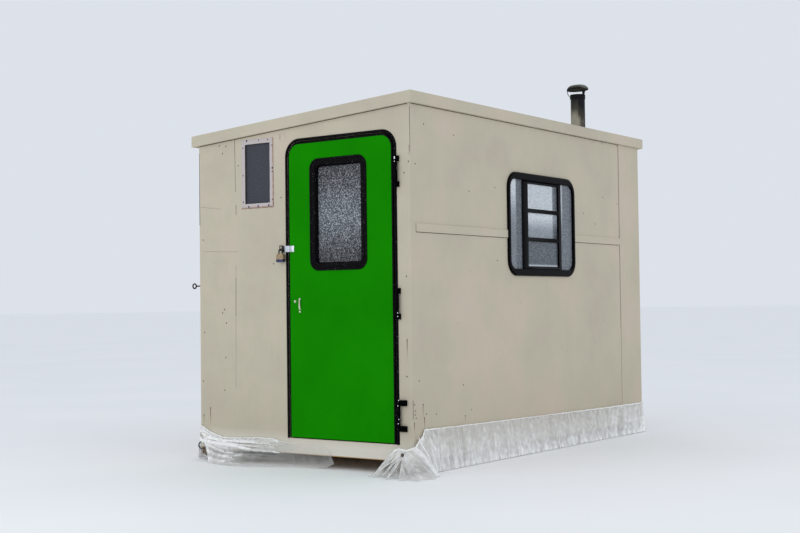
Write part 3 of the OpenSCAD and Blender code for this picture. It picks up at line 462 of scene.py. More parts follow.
# Makes a mesh object, smooth except at sharp edges, with its faces pointing outwards
def newPiece(name, points, faces, finish, closed=True, sharp=35):
    mesh = bpy.data.meshes.new(name)
    mesh.from_pydata([tuple(p) for p in points], [], faces)
    if closed:
        work = bmesh.new()
        work.from_mesh(mesh)
        bmesh.ops.remove_doubles(work, verts=work.verts, dist=1e-6)
        bmesh.ops.recalc_face_normals(work, faces=work.faces)
        work.to_mesh(mesh)
        work.free()
    mesh.materials.append(paint[finish])
    mesh.polygons.foreach_set("use_smooth", [True] * len(mesh.polygons))
    mesh.set_sharp_from_angle(angle=math.radians(sharp))
    piece = bpy.data.objects.new(name, mesh)
    bpy.context.scene.collection.objects.link(piece)
    return piece


# Turns live modifiers into a plain mesh
def settle(piece):
    graph = bpy.context.evaluated_depsgraph_get()
    made = bpy.data.meshes.new_from_object(piece.evaluated_get(graph))
    piece.modifiers.clear()
    old, piece.data = piece.data, made
    made.name = piece.name
    bpy.data.meshes.remove(old)
    return piece


def finishPiece(piece, body, slotName, *replaced):
    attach(piece, body)
    if replaced:
        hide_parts(*replaced)
    return piece


# A copy of a node with its sharp edges rounded, which then stands for the node
def softenedNode(nodeName, name, finish, width, body, slotName, steps=2, reshape=None):
    work = bmesh.new()
    work.from_mesh(nodes[nodeName].data)
    bmesh.ops.remove_doubles(work, verts=work.verts, dist=1e-6)
    bmesh.ops.dissolve_limit(work, angle_limit=math.radians(0.5), verts=work.verts,
                             edges=work.edges)
    if reshape:
        for vert in work.verts:
            vert.co = reshape(vert.co)
        bmesh.ops.remove_doubles(work, verts=work.verts, dist=1e-6)
    mesh = bpy.data.meshes.new(name)
    work.to_mesh(mesh)
    work.free()
    mesh.materials.clear()
    mesh.materials.append(paint[finish])
    piece = bpy.data.objects.new(name, mesh)
    bpy.context.scene.collection.objects.link(piece)
    bevel = piece.modifiers.new("edge", "BEVEL")
    bevel.width, bevel.segments, bevel.limit_method = width, steps, "ANGLE"
    bevel.angle_limit = math.radians(40)
    settle(piece)
    piece.data.polygons.foreach_set("use_smooth", [True] * len(piece.data.polygons))
    piece.data.set_sharp_from_angle(angle=math.radians(50))
    return finishPiece(piece, body, slotName, nodeName)


# Outline of a rounded rectangle about the origin; fill adds points along its straight sides
def roundedOutline(width, height, radius, steps=7, fill=0):
    outline = []
    for corner, (sx, sz) in enumerate(((1, 1), (-1, 1), (-1, -1), (1, -1))):
        for step in range(steps + 1):
            turn = math.radians(90 * (corner + step / steps))
            outline.append((sx * (width / 2 - radius) + radius * math.cos(turn),
                            sz * (height / 2 - radius) + radius * math.sin(turn)))
    filled = []
    for k, here in enumerate(outline):
        there = outline[(k + 1) % len(outline)]
        filled.append(here)
        if k % (steps + 1) == steps:
            filled += [(here[0] + (there[0] - here[0]) * n / (fill + 1),
                        here[1] + (there[1] - here[1]) * n / (fill + 1)) for n in range(1, fill + 1)]
    return filled


# Rounded rectangle at each distance off outwards, with its corners never sharper than least
def roundedRings(width, height, radius, least=0.001, steps=7, fill=0):
    return lambda off: roundedOutline(width + 2 * off, height + 2 * off, max(radius + off, least),
                                      steps, fill)


# Arch from its lower left end over the top to its lower right end, at each distance outwards
def archRings(width, height, radius, steps=9):
    def ring(off):
        outline = [(-width / 2 - off, 0)]
        for side, start in ((-1, 180), (1, 90)):
            for step in range(steps + 1):
                turn = math.radians(start - 90 * step / steps)
                outline.append((side * (width / 2 - radius) + (radius + off) * math.cos(turn),
                                height - radius + (radius + off) * math.sin(turn)))
        return outline + [(width / 2 + off, 0)]
    return ring


# Faces between rings of count points each. looped joins the last ring to the first, and a stack
# that isn't looped is capped; split leaves out the faces from each ring's last point to its first
def ringFaces(rings, count, looped=False, split=False):
    faces = []
    for ring in range(rings if looped else rings - 1):
        here, there = ring * count, (ring + 1) % rings * count
        faces += [(here + k, here + (k + 1) % count, there + (k + 1) % count, there + k)
                  for k in range(count - 1 if split else count)]
    if not looped:
        faces += [tuple(range(count)), tuple(range((rings - 1) * count, rings * count))]
    return faces


# Runs a section along an outline; the section's points are (across outwards, proud of the face)
def sweepSection(name, rings, section, place, finish, closed=True):
    points, count = [], len(rings(0))
    for off, proud in section:
        points += [place(across, up, proud) for across, up in rings(off)]
    faces = ringFaces(len(section), count, looped=True, split=not closed)
    if not closed:
        faces += [tuple(k * count + end for k in range(len(section))) for end in (0, count - 1)]
    return newPiece(name, points, faces, finish)


# A round bar along a line of points, closed at both ends; widths scale it point by point
def roundBar(points, radius, sides=10, widths=None):
    made = []
    points = [Vector(p) for p in points]
    for i, point in enumerate(points):
        ahead = (points[min(i + 1, len(points) - 1)] - points[max(i - 1, 0)]).normalized()
        side = ahead.cross(Vector((0, 0, 1)))
        if side.length <= 0.05:
            side = ahead.cross(Vector((0, 1, 0)))
        side.normalize()
        over = side.cross(ahead).normalized()
        size = radius * (widths[i] if widths else 1)
        for k in range(sides):
            turn = math.tau * k / sides
            made.append(point + (side * math.cos(turn) + over * math.sin(turn)) * size)
    return made, ringFaces(len(points), sides)


def onFront(centreX, centreZ, faceY):
    return lambda across, up, proud: (centreX + across, faceY - proud, centreZ + up)


def onSide(side, centreY, centreZ):
    return lambda across, up, proud: (side * (wallX + proud), centreY + across, centreZ + up)


# Doorway gasket: a lip on the wall that swells to a bulb beside the door
gasket = dict(width=0.782, height=1.686, radius=0.1, footZ=0.158,
              section=[(0, 0), (-0.0003, 0.003), (-0.002, 0.0045), (-0.005, 0.0042),
                       (-0.0065, 0.006), (-0.009, 0.0077), (-0.0125, 0.0079), (-0.015, 0.0064),
                       (-0.016, 0.0035), (-0.0157, 0)])
gasketPiece = sweepSection("doorwayGasket",
                           archRings(gasket["width"], gasket["height"], gasket["radius"]),
                           gasket["section"],
                           onFront(hut["doorX"], gasket["footZ"], front), "rubber", False)
finishPiece(gasketPiece, "root", "rubber", "door_gasket")

# Rubber surround of the door window: lip, locking groove and bead, then a slope to the glass
doorWindow = dict(width=0.402, height=0.627, radius=0.06, centre=(0.288, 1.4075), glass=0.0195,
                  section=[(0, 0), (-0.0005, 0.0028), (-0.003, 0.0046), (-0.012, 0.005),
                           (-0.0145, 0.0036), (-0.0155, 0.0028), (-0.0168, 0.0036), (-0.02, 0.005),
                           (-0.0345, 0.005), (-0.0385, 0.0038), (-0.043, -0.002), (-0.0462, -0.009),
                           (-0.047, -0.013), (-0.047, -0.03), (-0.014, -0.03), (-0.014, 0)])
surround = sweepSection("doorWindowSurround",
                        roundedRings(doorWindow["width"], doorWindow["height"],
                                     doorWindow["radius"], 0.013),
                        doorWindow["section"],
                        onFront(*doorWindow["centre"], doorFace), "rubber")
finishPiece(surround, "door", "rubber", "door_window_surround")

# Side windows' frames, one on each long side. Their rings run from the outer outline (0) to the
# inner one (1), which leaves the head and sill wider than the jambs
sideWindow = dict(width=0.810, height=0.619, radius=0.096, centreY=0.012, centreZ=1.3725,
                  jamb=0.022, rail=0.042, innerRadius=0.054,
                  section=[(0, 0), (0.0, 0.009), (0.04, 0.0125), (0.14, 0.0148), (0.3, 0.015),
                           (0.86, 0.015), (0.96, 0.0145), (1.0, 0.012), (1.0, -0.0475),
                           (0.5, -0.0475), (0.5, 0)])


def bandRings(share):
    outer, inner = sideWindow["radius"], sideWindow["innerRadius"]
    return roundedOutline(sideWindow["width"] - 2 * sideWindow["jamb"] * share,
                          sideWindow["height"] - 2 * sideWindow["rail"] * share,
                          outer + (inner - outer) * share, 12)


for hand, side in (("Right", 1), ("Left", -1)):
    windowFrame = sweepSection("sideWindowFrame" + hand, bandRings, sideWindow["section"],
                               onSide(side, sideWindow["centreY"], sideWindow["centreZ"]), "frame")
    finishPiece(windowFrame, "root", "black_frame", "window_frames")
softenedNode("window_sashes", "sideWindowSashes", "frame", 0.0025, "root", "black_frame")
print("scene: rubber and frames ready")


glassThick = 0.004
paneGrid = 24


# One pane as a fine grid, with a tone of painted light and shade for each point; shade takes (across, up)
# from 0 to 1.
# roundEnd 1 or -1 rounds only the corners on that side
def addPane(store, place, width, height, shade, radius=0.0, roundEnd=0):
    points, faces, tones = store
    start = len(points)
    columns = rows = paneGrid
    for depth in (0, -glassThick):
        for j in range(rows + 1):
            for i in range(columns + 1):
                a, u = (i / columns - 0.5) * width, (j / rows - 0.5) * height
                if radius and a * roundEnd >= 0:                      # 0 rounds both ends
                    overA, overU = abs(a) - (width / 2 - radius), abs(u) - (height / 2 - radius)
                    if overA > 0 and overU > 0 and math.hypot(overA, overU) > radius:
                        shrink = radius / math.hypot(overA, overU)
                        a = math.copysign(width / 2 - radius + overA * shrink, a)
                        u = math.copysign(height / 2 - radius + overU * shrink, u)
                points.append(place(a, u, depth))
                tones.append(shade(i / columns, j / rows))
    layer = (columns + 1) * (rows + 1)
    for depth in (0, 1):
        for j in range(rows):
            for i in range(columns):
                a = start + depth * layer + j * (columns + 1) + i
                faces.append((a, a + 1, a + columns + 2, a + columns + 1))
    rim = ([i for i in range(columns + 1)]
           + [j * (columns + 1) + columns for j in range(1, rows + 1)]
           + [rows * (columns + 1) + i for i in range(columns - 1, -1, -1)]
           + [j * (columns + 1) for j in range(rows - 1, 0, -1)])
    for k, a in enumerate(rim):
        b = rim[(k + 1) % len(rim)]
        faces.append((start + a, start + b, start + layer + b, start + layer + a))


def panePiece(name, store, finish, body, replaced):
    piece = newPiece(name, store[0], store[1], finish, closed=False)
    tones = piece.data.attributes.new("tone", "FLOAT", "POINT")
    tones.data.foreach_set("value", store[2])
    work = bmesh.new()
    work.from_mesh(piece.data)
    bmesh.ops.recalc_face_normals(work, faces=work.faces)
    work.to_mesh(piece.data)
    work.free()
    return finishPiece(piece, body, "glass", replaced)


def ease(low, high, value):
    step = min(1.0, max(0.0, (value - low) / (high - low)))
    return step * step * (3 - 2 * step)


# Door glass, painted light: brightest in the middle, darker to the top and the bottom
doorPane = ([], [], [])
addPane(doorPane, onFront(*doorWindow["centre"], doorFace + doorWindow["glass"]), 0.3078, 0.5328,
        lambda a, u: ease(0.0, 0.5, u) * (1 - ease(0.5, 1.0, u)), radius=0.0129)
panePiece("doorWindowGlass", doorPane, "doorGlass", "door", "door_glass")

# Side windows: three lites in the sash, set back a little, and a light at each end. Their tones are painted
# light and shade: bright edges on the top lite, and all dark towards their right sides
lites = dict(width=0.370, height=0.1503, pitch=0.1743, shift=0.016, back=0.004, sideWidth=0.1478,
             sideHeight=0.5348, sideCentre=0.3089, sideRadius=0.054)
liteShades = ((1, lambda a, u: 0.78 + 0.2 * (1 - ease(0.0, 0.1, min(a, u, 1 - u)))
               - 0.66 * ease(0.84, 0.88, a)),
              (0, lambda a, u: 0.45 + 0.45 * ease(0.2, 1.0, u) - 0.4 * ease(0.84, 0.88, a)),
              (-1, lambda a, u: 0.1 + 0.7 * (1 - ease(0.04, 0.1, u))))
sideShades = ((-1, lambda a, u: 0.12 + (0.16 + 0.6 * ease(0.4, 1.0, u))
               * (1 - ease(0.52, 0.6, a))),
              (1, lambda a, u: 0.2 + 0.6 * (1 - ease(0.1, 0.26, a)) * ease(0.4, 0.8, u)))
sidePanes = ([], [], [])
for side in (1, -1):
    for row, shade in liteShades:
        start = len(sidePanes[0])
        addPane(sidePanes, onSide(side, sideWindow["centreY"] + lites["shift"],
                                  sideWindow["centreZ"] + row * lites["pitch"]), lites["width"],
                lites["height"], shade)
        for k in range(start, len(sidePanes[0])):
            x, y, z = sidePanes[0][k]
            sidePanes[0][k] = (x - side * lites["back"], y, z)
    for end, shade in sideShades:
        addPane(sidePanes, onSide(side, sideWindow["centreY"] + end * lites["sideCentre"],
                                  sideWindow["centreZ"]), lites["sideWidth"], lites["sideHeight"],
                shade, radius=lites["sideRadius"], roundEnd=end)
panePiece("sideWindowGlass", sidePanes, "sashGlass", "root", "window_glass")
print("scene: glass ready")

# Vent window: a dented flange with mitred corners and an inner return
vent = dict(width=0.247, height=0.402, centre=(-0.3085, 1.668), dent=0.0011,
            section=[(0, 0), (0, 0.001), (-0.0008, 0.0015), (-0.013, 0.0018), (-0.026, 0.0015),
                     (-0.0277, 0.001), (-0.0285, -0.0005), (-0.0285, -0.0285), (-0.027, -0.0285),
                     (-0.027, 0)])


def onVent(across, up, proud):
    x, y, z = onFront(*vent["centre"], front)(across, up, proud)
    push = vent["dent"] * noise.noise(Vector((x * 31, 0.3, z * 31)))
    return x + push, y + min(0.0, push) * (proud > 0.0005), z - push


flange = sweepSection("ventFlange",
                      roundedRings(vent["width"], vent["height"], 0.002, 0.0012, 2, 10),
                      vent["section"], onVent, "flange")
finishPiece(flange, "root", "vent_metal", "vent_frame")

# Hinges and hasp: edges rounded, steel left as it is bent, the leaves cut off at leafEndX
leafEndX = 0.671
softenedNode("hinge_brackets", "hingeBrackets", "hinge", 0.0015, "root", "black_steel")
softenedNode("hinge_leaves", "hingeLeaves", "hinge", 0.001, "door", "black_steel",
             reshape=lambda p: Vector((max(p.x, leafEndX), p.y, p.z)))
softenedNode("hasp_strap", "haspStrap", "zinc", 0.0008, "door", "zinc")

# Rain cap: a shallow dome, knocked a little out of level
cap = dict(tilt=-2.5, hinge=(-0.472, 0.882, 0), rimZ=2.336, sheet=0.0013, dent=0.0018,
           profile=[(0.0722, 0), (0.073, 0.0012), (0.073, 0.0055), (0.0716, 0.0105),
                    (0.0679, 0.0155), (0.0635, 0.0205), (0.0575, 0.0262), (0.0505, 0.0305),
                    (0.042, 0.0331), (0.031, 0.0343), (0.017, 0.0348), (0.0012, 0.035)])


# A profile of (radius, height) turned about the upright axis
def lathed(profile, sides=48):
    turns = [math.tau * k / sides for k in range(sides)]
    points = [(radius * math.cos(turn), radius * math.sin(turn), z)
              for radius, z in profile for turn in turns]
    return points, ringFaces(len(profile), sides)


shell = [(0.0012, cap["profile"][-1][1] - cap["sheet"])]
shell += [(r - cap["sheet"], z - cap["sheet"]) for r, z in reversed(cap["profile"][2:-1])]
shell += [(0.0709, 0.0004)] + cap["profile"]
domePoints, domeFaces = lathed(shell)
lean = Matrix.Rotation(math.radians(cap["tilt"]), 3, Vector(cap["hinge"]))
dented = []
for point in domePoints:
    point = Vector(point)
    point.z += cap["dent"] * noise.noise(point * 28) * min(1, point.z / 0.01)
    dented.append(lean @ point + Vector((*stove["axis"], cap["rimZ"])))
rainCap = newPiece("rainCap", dented, domeFaces, "cap")
finishPiece(rainCap, "root", "soot_steel", "rain_cap")

# Padlock body: stacked plates between two rounded end plates, on a blue moulded band
lock = dict(x=-0.1195, y=-1.3912, lowZ=1.1495, width=0.053, depth=0.02, height=0.047, plates=9,
            band=0.015, shoulder=0.006, corner=0.004)


def stackedBody(layers):
    points, count = [], 0
    for z, inset in layers:
        outline = roundedOutline(lock["width"] - 2 * inset, lock["depth"] - 2 * inset,
                                 lock["corner"], 4)
        points += [(lock["x"] + a, lock["y"] + b, z) for a, b in outline]
        count = len(outline)
    return points, ringFaces(len(layers), count)


plateStart = lock["lowZ"] + lock["band"]
plateRun = lock["height"] - lock["band"]
layers = []
for plate in range(lock["plates"]):
    z0 = plateStart + plateRun * plate / lock["plates"]
    z1 = plateStart + plateRun * (plate + 1) / lock["plates"]
    inset = lock["shoulder"] * max(0, plate - lock["plates"] + 3) / 3
    layers += [(z0 + 0.0001, inset + 0.0009), (z0 + 0.0006, inset), (z1 - 0.0006, inset),
               (z1 - 0.0001, inset + 0.0009)]
lockBody = newPiece("padlockBody", *stackedBody(layers), "brass")
finishPiece(lockBody, "root", "brass", "padlock_body")
low = lock["lowZ"]
bandLayers = [(low, 0.0025), (low + 0.0008, 0.0006), (low + 0.003, 0.0), (plateStart - 0.0015, 0.0),
              (plateStart, 0.0007)]
lockBand = newPiece("padlockBand", *stackedBody(bandLayers), "blueBand")
finishPiece(lockBand, "root", "brass", "padlock_body")

# Door pull: two posts, a swelling grip between them, a key cylinder and a keeper button
pull = dict(x=0.010, z=0.911, length=0.068, width=0.011, stand=0.0065, keyX=-0.025, keyZ=0.925,
            keeperZ=0.867)


# A turned piece on the door's face; its stages are (proud of the face, radius)
def turnedStud(centreX, centreZ, stages):
    points, faces = lathed([(radius, proud) for proud, radius in stages], 24)
    return [(centreX + x, doorFace - proud, centreZ + z) for x, z, proud in points], faces


def joinParts(*parts):
    points, faces = [], []
    for partPoints, partFaces in parts:
        shift = len(points)
        points += partPoints
        faces += [tuple(i + shift for i in face) for face in partFaces]
    return points, faces


half = (pull["length"] - pull["width"]) / 2
grip = [(pull["x"], doorFace + 0.001, pull["z"] + half)]
grip += [(pull["x"], doorFace - pull["stand"] * math.sin(math.radians(t)) ** 0.28,
          pull["z"] + half * math.cos(math.radians(t))) for t in range(8, 180, 8)]
grip += [(pull["x"], doorFace + 0.001, pull["z"] - half)]
pullParts = [roundBar(grip, 0.0052, 12)]
for end in (-1, 1):
    pullParts.append(turnedStud(pull["x"], pull["z"] + end * half,
                                [(0, 0.0054), (0.0012, 0.0054), (0.002, 0.0046)]))
pullParts.append(turnedStud(pull["keyX"], pull["keyZ"], [(0, 0.008), (0.0035, 0.008), (0.005, 0.007),
                                                         (0.005, 0.0052), (0.0042, 0.005),
                                                         (0.0042, 0.0005)]))
pullParts.append(turnedStud(pull["x"], pull["keeperZ"], [(0, 0.006), (0.004, 0.006), (0.0055, 0.0047),
                                                         (0.006, 0.0015)]))
doorPull = newPiece("doorPull", *joinParts(*pullParts), "chrome")
finishPiece(doorPull, "door", "chrome_pull", "door_handle")
print("scene: fittings ready")


# Nail and screw heads: a node tree that sets a low dome on every point, along its facing
def buildHeadTree():
    tree = bpy.data.node_groups.new("roundHeads", "GeometryNodeTree")
    tree.interface.new_socket("Geometry", in_out="INPUT", socket_type="NodeSocketGeometry")
    for label, value in (("Head radius", 0.003), ("Head height", 0.0012)):
        socket = tree.interface.new_socket(label, in_out="INPUT", socket_type="NodeSocketFloat")
        socket.default_value = value
    tree.interface.new_socket("Material", in_out="INPUT", socket_type="NodeSocketMaterial")
    tree.interface.new_socket("Geometry", in_out="OUTPUT", socket_type="NodeSocketGeometry")
    given = addNode(tree, "NodeGroupInput")
    ball = addNode(tree, "GeometryNodeMeshUVSphere", {"Segments": 12, "Rings": 6, "Radius": 1.0})
    size = addNode(tree, "ShaderNodeCombineXYZ", {0: given.outputs["Head radius"],
                                                  1: given.outputs["Head radius"],
                                                  2: given.outputs["Head height"]})
    flat = addNode(tree, "GeometryNodeTransform", {"Geometry": ball.outputs[0],
                                                   "Scale": size.outputs[0]})
    facing = addNode(tree, "GeometryNodeInputNamedAttribute", {"Name": "facing"},
                     data_type="FLOAT_VECTOR")
    turn = addNode(tree, "FunctionNodeAlignRotationToVector", {"Vector": facing.outputs[0]},
                   axis="Z")
    heads = addNode(tree, "GeometryNodeInstanceOnPoints", {"Points": given.outputs["Geometry"],
                                                           "Instance": flat.outputs[0],
                                                           "Rotation": turn.outputs[0]})
    real = addNode(tree, "GeometryNodeRealizeInstances", {0: heads.outputs[0]})
    coated = addNode(tree, "GeometryNodeSetMaterial", {"Geometry": real.outputs[0],
                                                       "Material": given.outputs["Material"]})
    addNode(tree, "NodeGroupOutput", {0: coated.outputs[0]})
    return tree


headTree = buildHeadTree()


def setHeads(name, places, radius, height, finish, body, slotName):
    mesh = bpy.data.meshes.new(name)
    mesh.from_pydata([p for p, _ in places], [], [])
    facing = mesh.attributes.new("facing", "FLOAT_VECTOR", "POINT")
    facing.data.foreach_set("vector", [part for _, out in places for part in out])
    piece = bpy.data.objects.new(name, mesh)
    bpy.context.scene.collection.objects.link(piece)
    modifier = piece.modifiers.new("heads", "NODES")
    modifier.node_group = headTree
    inputs = {item.name: item.identifier for item in headTree.interface.items_tree
              if item.in_out == "INPUT"}
    modifier[inputs["Head radius"]] = radius
    modifier[inputs["Head height"]] = height
    modifier[inputs["Material"]] = paint[finish]
    settle(piece)
    piece.data.polygons.foreach_set("use_smooth", [True] * len(piece.data.polygons))
    return finishPiece(piece, body, slotName)


frontNails = [(-0.6065, 1.8518), (-0.5564, 1.8459), (-0.5843, 1.8055), (-0.4594, 1.7236),
              (-0.768, 1.907), (-0.6978, 0.303), (-0.1294, 1.5186), (-0.7516, 0.2596),
              (0.735, 1.6), (0.742, 1.05), (0.738, 0.52), (-0.74, 0.75), (-0.746, 1.3),
              (-0.5774, 0.885), (-0.5921, 0.8651), (-0.5622, 0.805), (-0.5694, 0.6033),
              (-0.7535, 0.46), (-0.5805, 0.4115), (-0.1902, 1.1427), (0.7645, 1.6583)]
sideNails = [(-0.5224, 1.5733), (0.8305, 1.5967), (0.5575, 1.4784), (0.7193, 1.4146),
             (-0.5089, 1.1503), (1.2522, 1.7196), (1.0397, 1.5647), (-1.3107, 0.4933),
             (-0.8855, 0.4495), (-1.2782, 0.368), (-1.2486, 0.315), (-1.2668, 0.2961),
             (-1.1536, 0.308), (-0.8698, 0.2779), (-0.8043, 0.3068), (-1.2402, 1.8684),
             (-0.9481, 1.8372), (-0.8, 1.5344), (-1.3226, 1.6482), (0.8297, 1.9597), (1.05, 1.96),
             (-1.356, 0.372), (-1.347, 0.338), (-1.352, 0.318), (-1.343, 0.3)]
nails = [((x, front, z), outFront) for x, z in frontNails]
nails += [((wallX, y, z), outRight) for y, z in sideNails]
nails += [((-wallX, -y, z), (-1, 0, 0)) for y, z in sideNails]
nails += [((-x, hut["backY"], z), (0, 1, 0)) for x, z in frontNails]
setHeads("nailHeads", nails, 0.0042, 0.0011, "nail", "root", "rusty_steel")

ventScrews = [(-0.3861, 1.8606), (-0.2963, 1.8597), (-0.2247, 1.8581), (-0.1931, 1.8233),
              (-0.1931, 1.6946), (-0.1934, 1.671), (-0.1931, 1.5108), (-0.2221, 1.4793),
              (-0.3033, 1.4791), (-0.3757, 1.4785), (-0.4183, 1.5077), (-0.4183, 1.6626),
              (-0.4183, 1.8233)]
ventFace, lowRowZ = front - 0.0015, 1.49
screws = [((x, ventFace, z), outFront) for x, z in ventScrews if z > lowRowZ]
setHeads("ventScrews", screws, 0.0046, 0.0013, "nail", "root", "rusty_steel")
screws = [((x, ventFace, z), outFront) for x, z in ventScrews if z < lowRowZ]
screws += [((-0.3885, ventFace, 1.8625), outFront), ((-0.1925, ventFace, 1.692), outFront)]
setHeads("ventLowScrews", screws, 0.0062, 0.0016, "blueBand", "root", "rusty_steel")
lugX, lugFace, lowHingeZ = 0.7235, front - 0.0152, 0.312
lugScrews = [((lugX, lugFace, lowHingeZ + end * high), outFront) for end in (-1, 1)
             for high in (0.0605, 0.0755)]
setHeads("lugScrews", lugScrews, 0.0046, 0.0035, "hinge", "root", "black_steel")
# Painted highlights: small bright zinc domes on the hinge barrels stand for glints
pinFront = front - 0.0242
glints = [((x, pinFront, z), outFront)
          for x, z in ((0.6905, 1.6625), (0.7, 0.8564), (0.7, 0.838), (0.699, 0.3945),
                       (0.6935, 0.3655), (0.699, 0.2945), (0.695, 0.2715))]
setHeads("pinTopGlints", [((0.6905, pinFront, 1.685), outFront), ((0.6905, pinFront, 1.679), outFront)],
         0.0048, 0.002, "zinc", "root", "zinc")
setHeads("pinGlints", glints, 0.0034, 0.0016, "zinc", "root", "zinc")
leafScrews = [((-0.0375, doorFace - 0.0025, z), outFront) for z in (1.2135, 1.2345)]
setHeads("haspScrews", leafScrews, 0.0032, 0.0014, "zinc", "door", "zinc")
print("scene: nails and screws ready")


# Thin strips that lie on a face: painted shade along open joint lines and painted shadow lines under parts,
# and rust runs that fade downwards
def faceStrips(name, runs, finish, lift, slotName, fading=False, body="root"):
    points, faces, fades = [], [], []
    for place, out, width0, width1, down, strength in runs:
        place, out, down = Vector(place), Vector(out), Vector(down)
        across = down.cross(out).normalized()
        steps = max(2, int(down.length / 0.012))
        start = len(points)
        for k in range(steps + 1):
            share = k / steps
            half = (width0 + (width1 - width0) * share) / 2
            wander = 0.0006 * noise.noise(place * 50 + Vector((0, 0, share * 9))) if k else 0
            middle = place + down * share + across * wander + out * lift
            points += [middle - across * half, middle + across * half]
            fades += [strength * (1 - share) ** 1.3 if fading else strength] * 2
        faces += [(start + 2 * k, start + 2 * k + 1, start + 2 * k + 3, start + 2 * k + 2)
                  for k in range(steps)]
    piece = newPiece(name, points, faces, finish, closed=False)
    tone = piece.data.attributes.new("fade", "FLOAT", "POINT")
    tone.data.foreach_set("value", fades)
    solid = piece.modifiers.new("thickness", "SOLIDIFY")
    solid.thickness, solid.offset = lift * 0.8, -1
    settle(piece)
    return finishPiece(piece, body, slotName)


def roofLine(x):
    return hut["topZ"] - (wallX - x) * hut["fall"]


# Painted shade: dark strips along open joint lines and corners, and painted shadow lines under the front
# and side fascias and under the side battens
shadowLines = [
    ((-0.4855, front, 1.9), outFront, 0.0028, 0.002, (0.004, 0, -0.33), 1),
    ((-0.765, front, 1.497), outFront, 0.0009, 0.0006, (0.17, 0, -0.02), 1),
    ((-0.142, front, 1.886), outFront, 0.0012, 0.0006, (0.012, 0, -0.045), 1),
    ((-0.118, front, 1.89), outFront, 0.0008, 0.0012, (-0.018, 0, -0.038), 1),
    ((-0.1, front, 1.882), outFront, 0.001, 0.0006, (0.01, 0, -0.03), 1),
    ((-0.4785, front, 1.495), outFront, 0.003, 0.0026, (-0.0005, 0, -0.06), 1),
    ((-0.4825, front, 1.144), outFront, 0.001, 0.001, (-0.001, 0, -0.07), 1),
    ((-0.4832, front, 1.068), outFront, 0.0026, 0.003, (-0.003, 0, -0.222), 1),
    ((-0.486, front, 0.84), outFront, 0.001, 0.0007, (-0.005, 0, -0.42), 1),
    ((-0.7407, front, 1.2307), outFront, 0.0009, 0.0007, (0.275, 0, -0.0094), 1),
    ((0.7704, front, 1.7444), outFront, 0.0024, 0.0014, (-0.0008, 0, -0.053), 1),
    ((-0.7735, front, 1.82), outFront, 0.0022, 0.0046, (0, 0, -0.43), 1),
    ((wallX, -1.3695, 1.95), outRight, 0.0036, 0.0026, (0, 0, -0.24), 1),
    ((wallX, -1.3697, 0.395), outRight, 0.004, 0.003, (0, 0, -0.1), 1),
    ((wallX, 1.0672, 1.967), outRight, 0.0045, 0.0036, (0, 0, -0.7), 1),
    ((wallX, 1.0672, 1.267), outRight, 0.0035, 0.0018, (0, 0, -0.55), 1),
    ((-0.77, front, roofLine(-0.77) - 0.0662), outFront, 0.0038, 0.0032,
     (1.53, 0, 1.53 * hut["fall"]), 1),
    ((wallX, -1.36, 1.968), outRight, 0.0036, 0.0028, (0, 2.72, 0), 1),
    ((wallX, -1.325, 1.2855), outRight, 0.0036, 0.003, (0, 0.932, 0), 1),
    ((wallX, 0.425, 1.2855), outRight, 0.003, 0.003, (0, 0.64, 0), 1),
]
faceStrips("paintedShadowLines", shadowLines, "shadeStrip", 0.00035, "beige_paint")
runs = [((-0.6978, front, 0.303), outFront, 0.005, 0.003, (0, 0, -0.11), 1.5),
        ((-0.7516, front, 0.2596), outFront, 0.004, 0.002, (0, 0, -0.08), 1.1),
        ((0.742, front, 0.72), outFront, 0.006, 0.003, (0, 0, -0.14), 0.7),
        ((wallX, -1.2782, 0.368), outRight, 0.006, 0.003, (0, 0, -0.08), 1.1),
        ((wallX, -1.2668, 0.2961), outRight, 0.006, 0.003, (0, 0, -0.07), 1.2),
        ((wallX, -1.3593, 0.2781), outRight, 0.007, 0.004, (0, 0, -0.06), 1.2),
        ((wallX, -0.8698, 0.2779), outRight, 0.004, 0.002, (0, 0, -0.05), 0.9)]
faceStrips("rustRuns", runs, "stain", 0.0003, "beige_paint", fading=True)
strapFace = min(corner[1] for corner in nodes["hasp_strap"].bound_box)
# Painted shade: a dark strip in the gap between the hasp's knuckle and its leaf
knuckleGap = ((-0.0518, strapFace, 1.2405), outFront, 0.0028, 0.0024, (0, 0, -0.033), 1)
faceStrips("haspKnuckleGapShade", [knuckleGap], "shadeStrip", 0.0003, "black_steel", body="door")
print("scene: joints and rust ready")

# Plastic skirt: each film hangs from a line of tops to a line of feet. A key column holds its
# place along the film, top, foot, belly, fold depth, the light that is stopped at the top, the
# middle and the foot, and the share of folds that run level
skirt = dict(film=0.0008, rows=36, hemRadius=0.0036, footZ=0.002,
             hubCentre=(0.7376, -1.42, 0.111), hubRadius=0.0105)


def keyColumn(place, top, foot, belly, depth, cover, level=0.0):
    return (place, Vector(top), Vector(foot), Vector(belly), depth, Vector(cover), level)


def columnAt(keys, share):
    for here, there in zip(keys, keys[1:]):
        if share <= there[0]:
            step = (share - here[0]) / (there[0] - here[0])
            soft = step * step * (3 - 2 * step)
            return [here[i].lerp(there[i], soft) if isinstance(here[i], Vector)
                    else here[i] + (there[i] - here[i]) * soft for i in range(1, len(here))]
    return list(keys[-1][1:])


def ridgeNoise(*place):
    return 1 - 2.7 * abs(noise.noise(Vector(place)))


def turnedAbout(points):
    return [Vector((-p.x, -p.y, p.z)) for p in points]


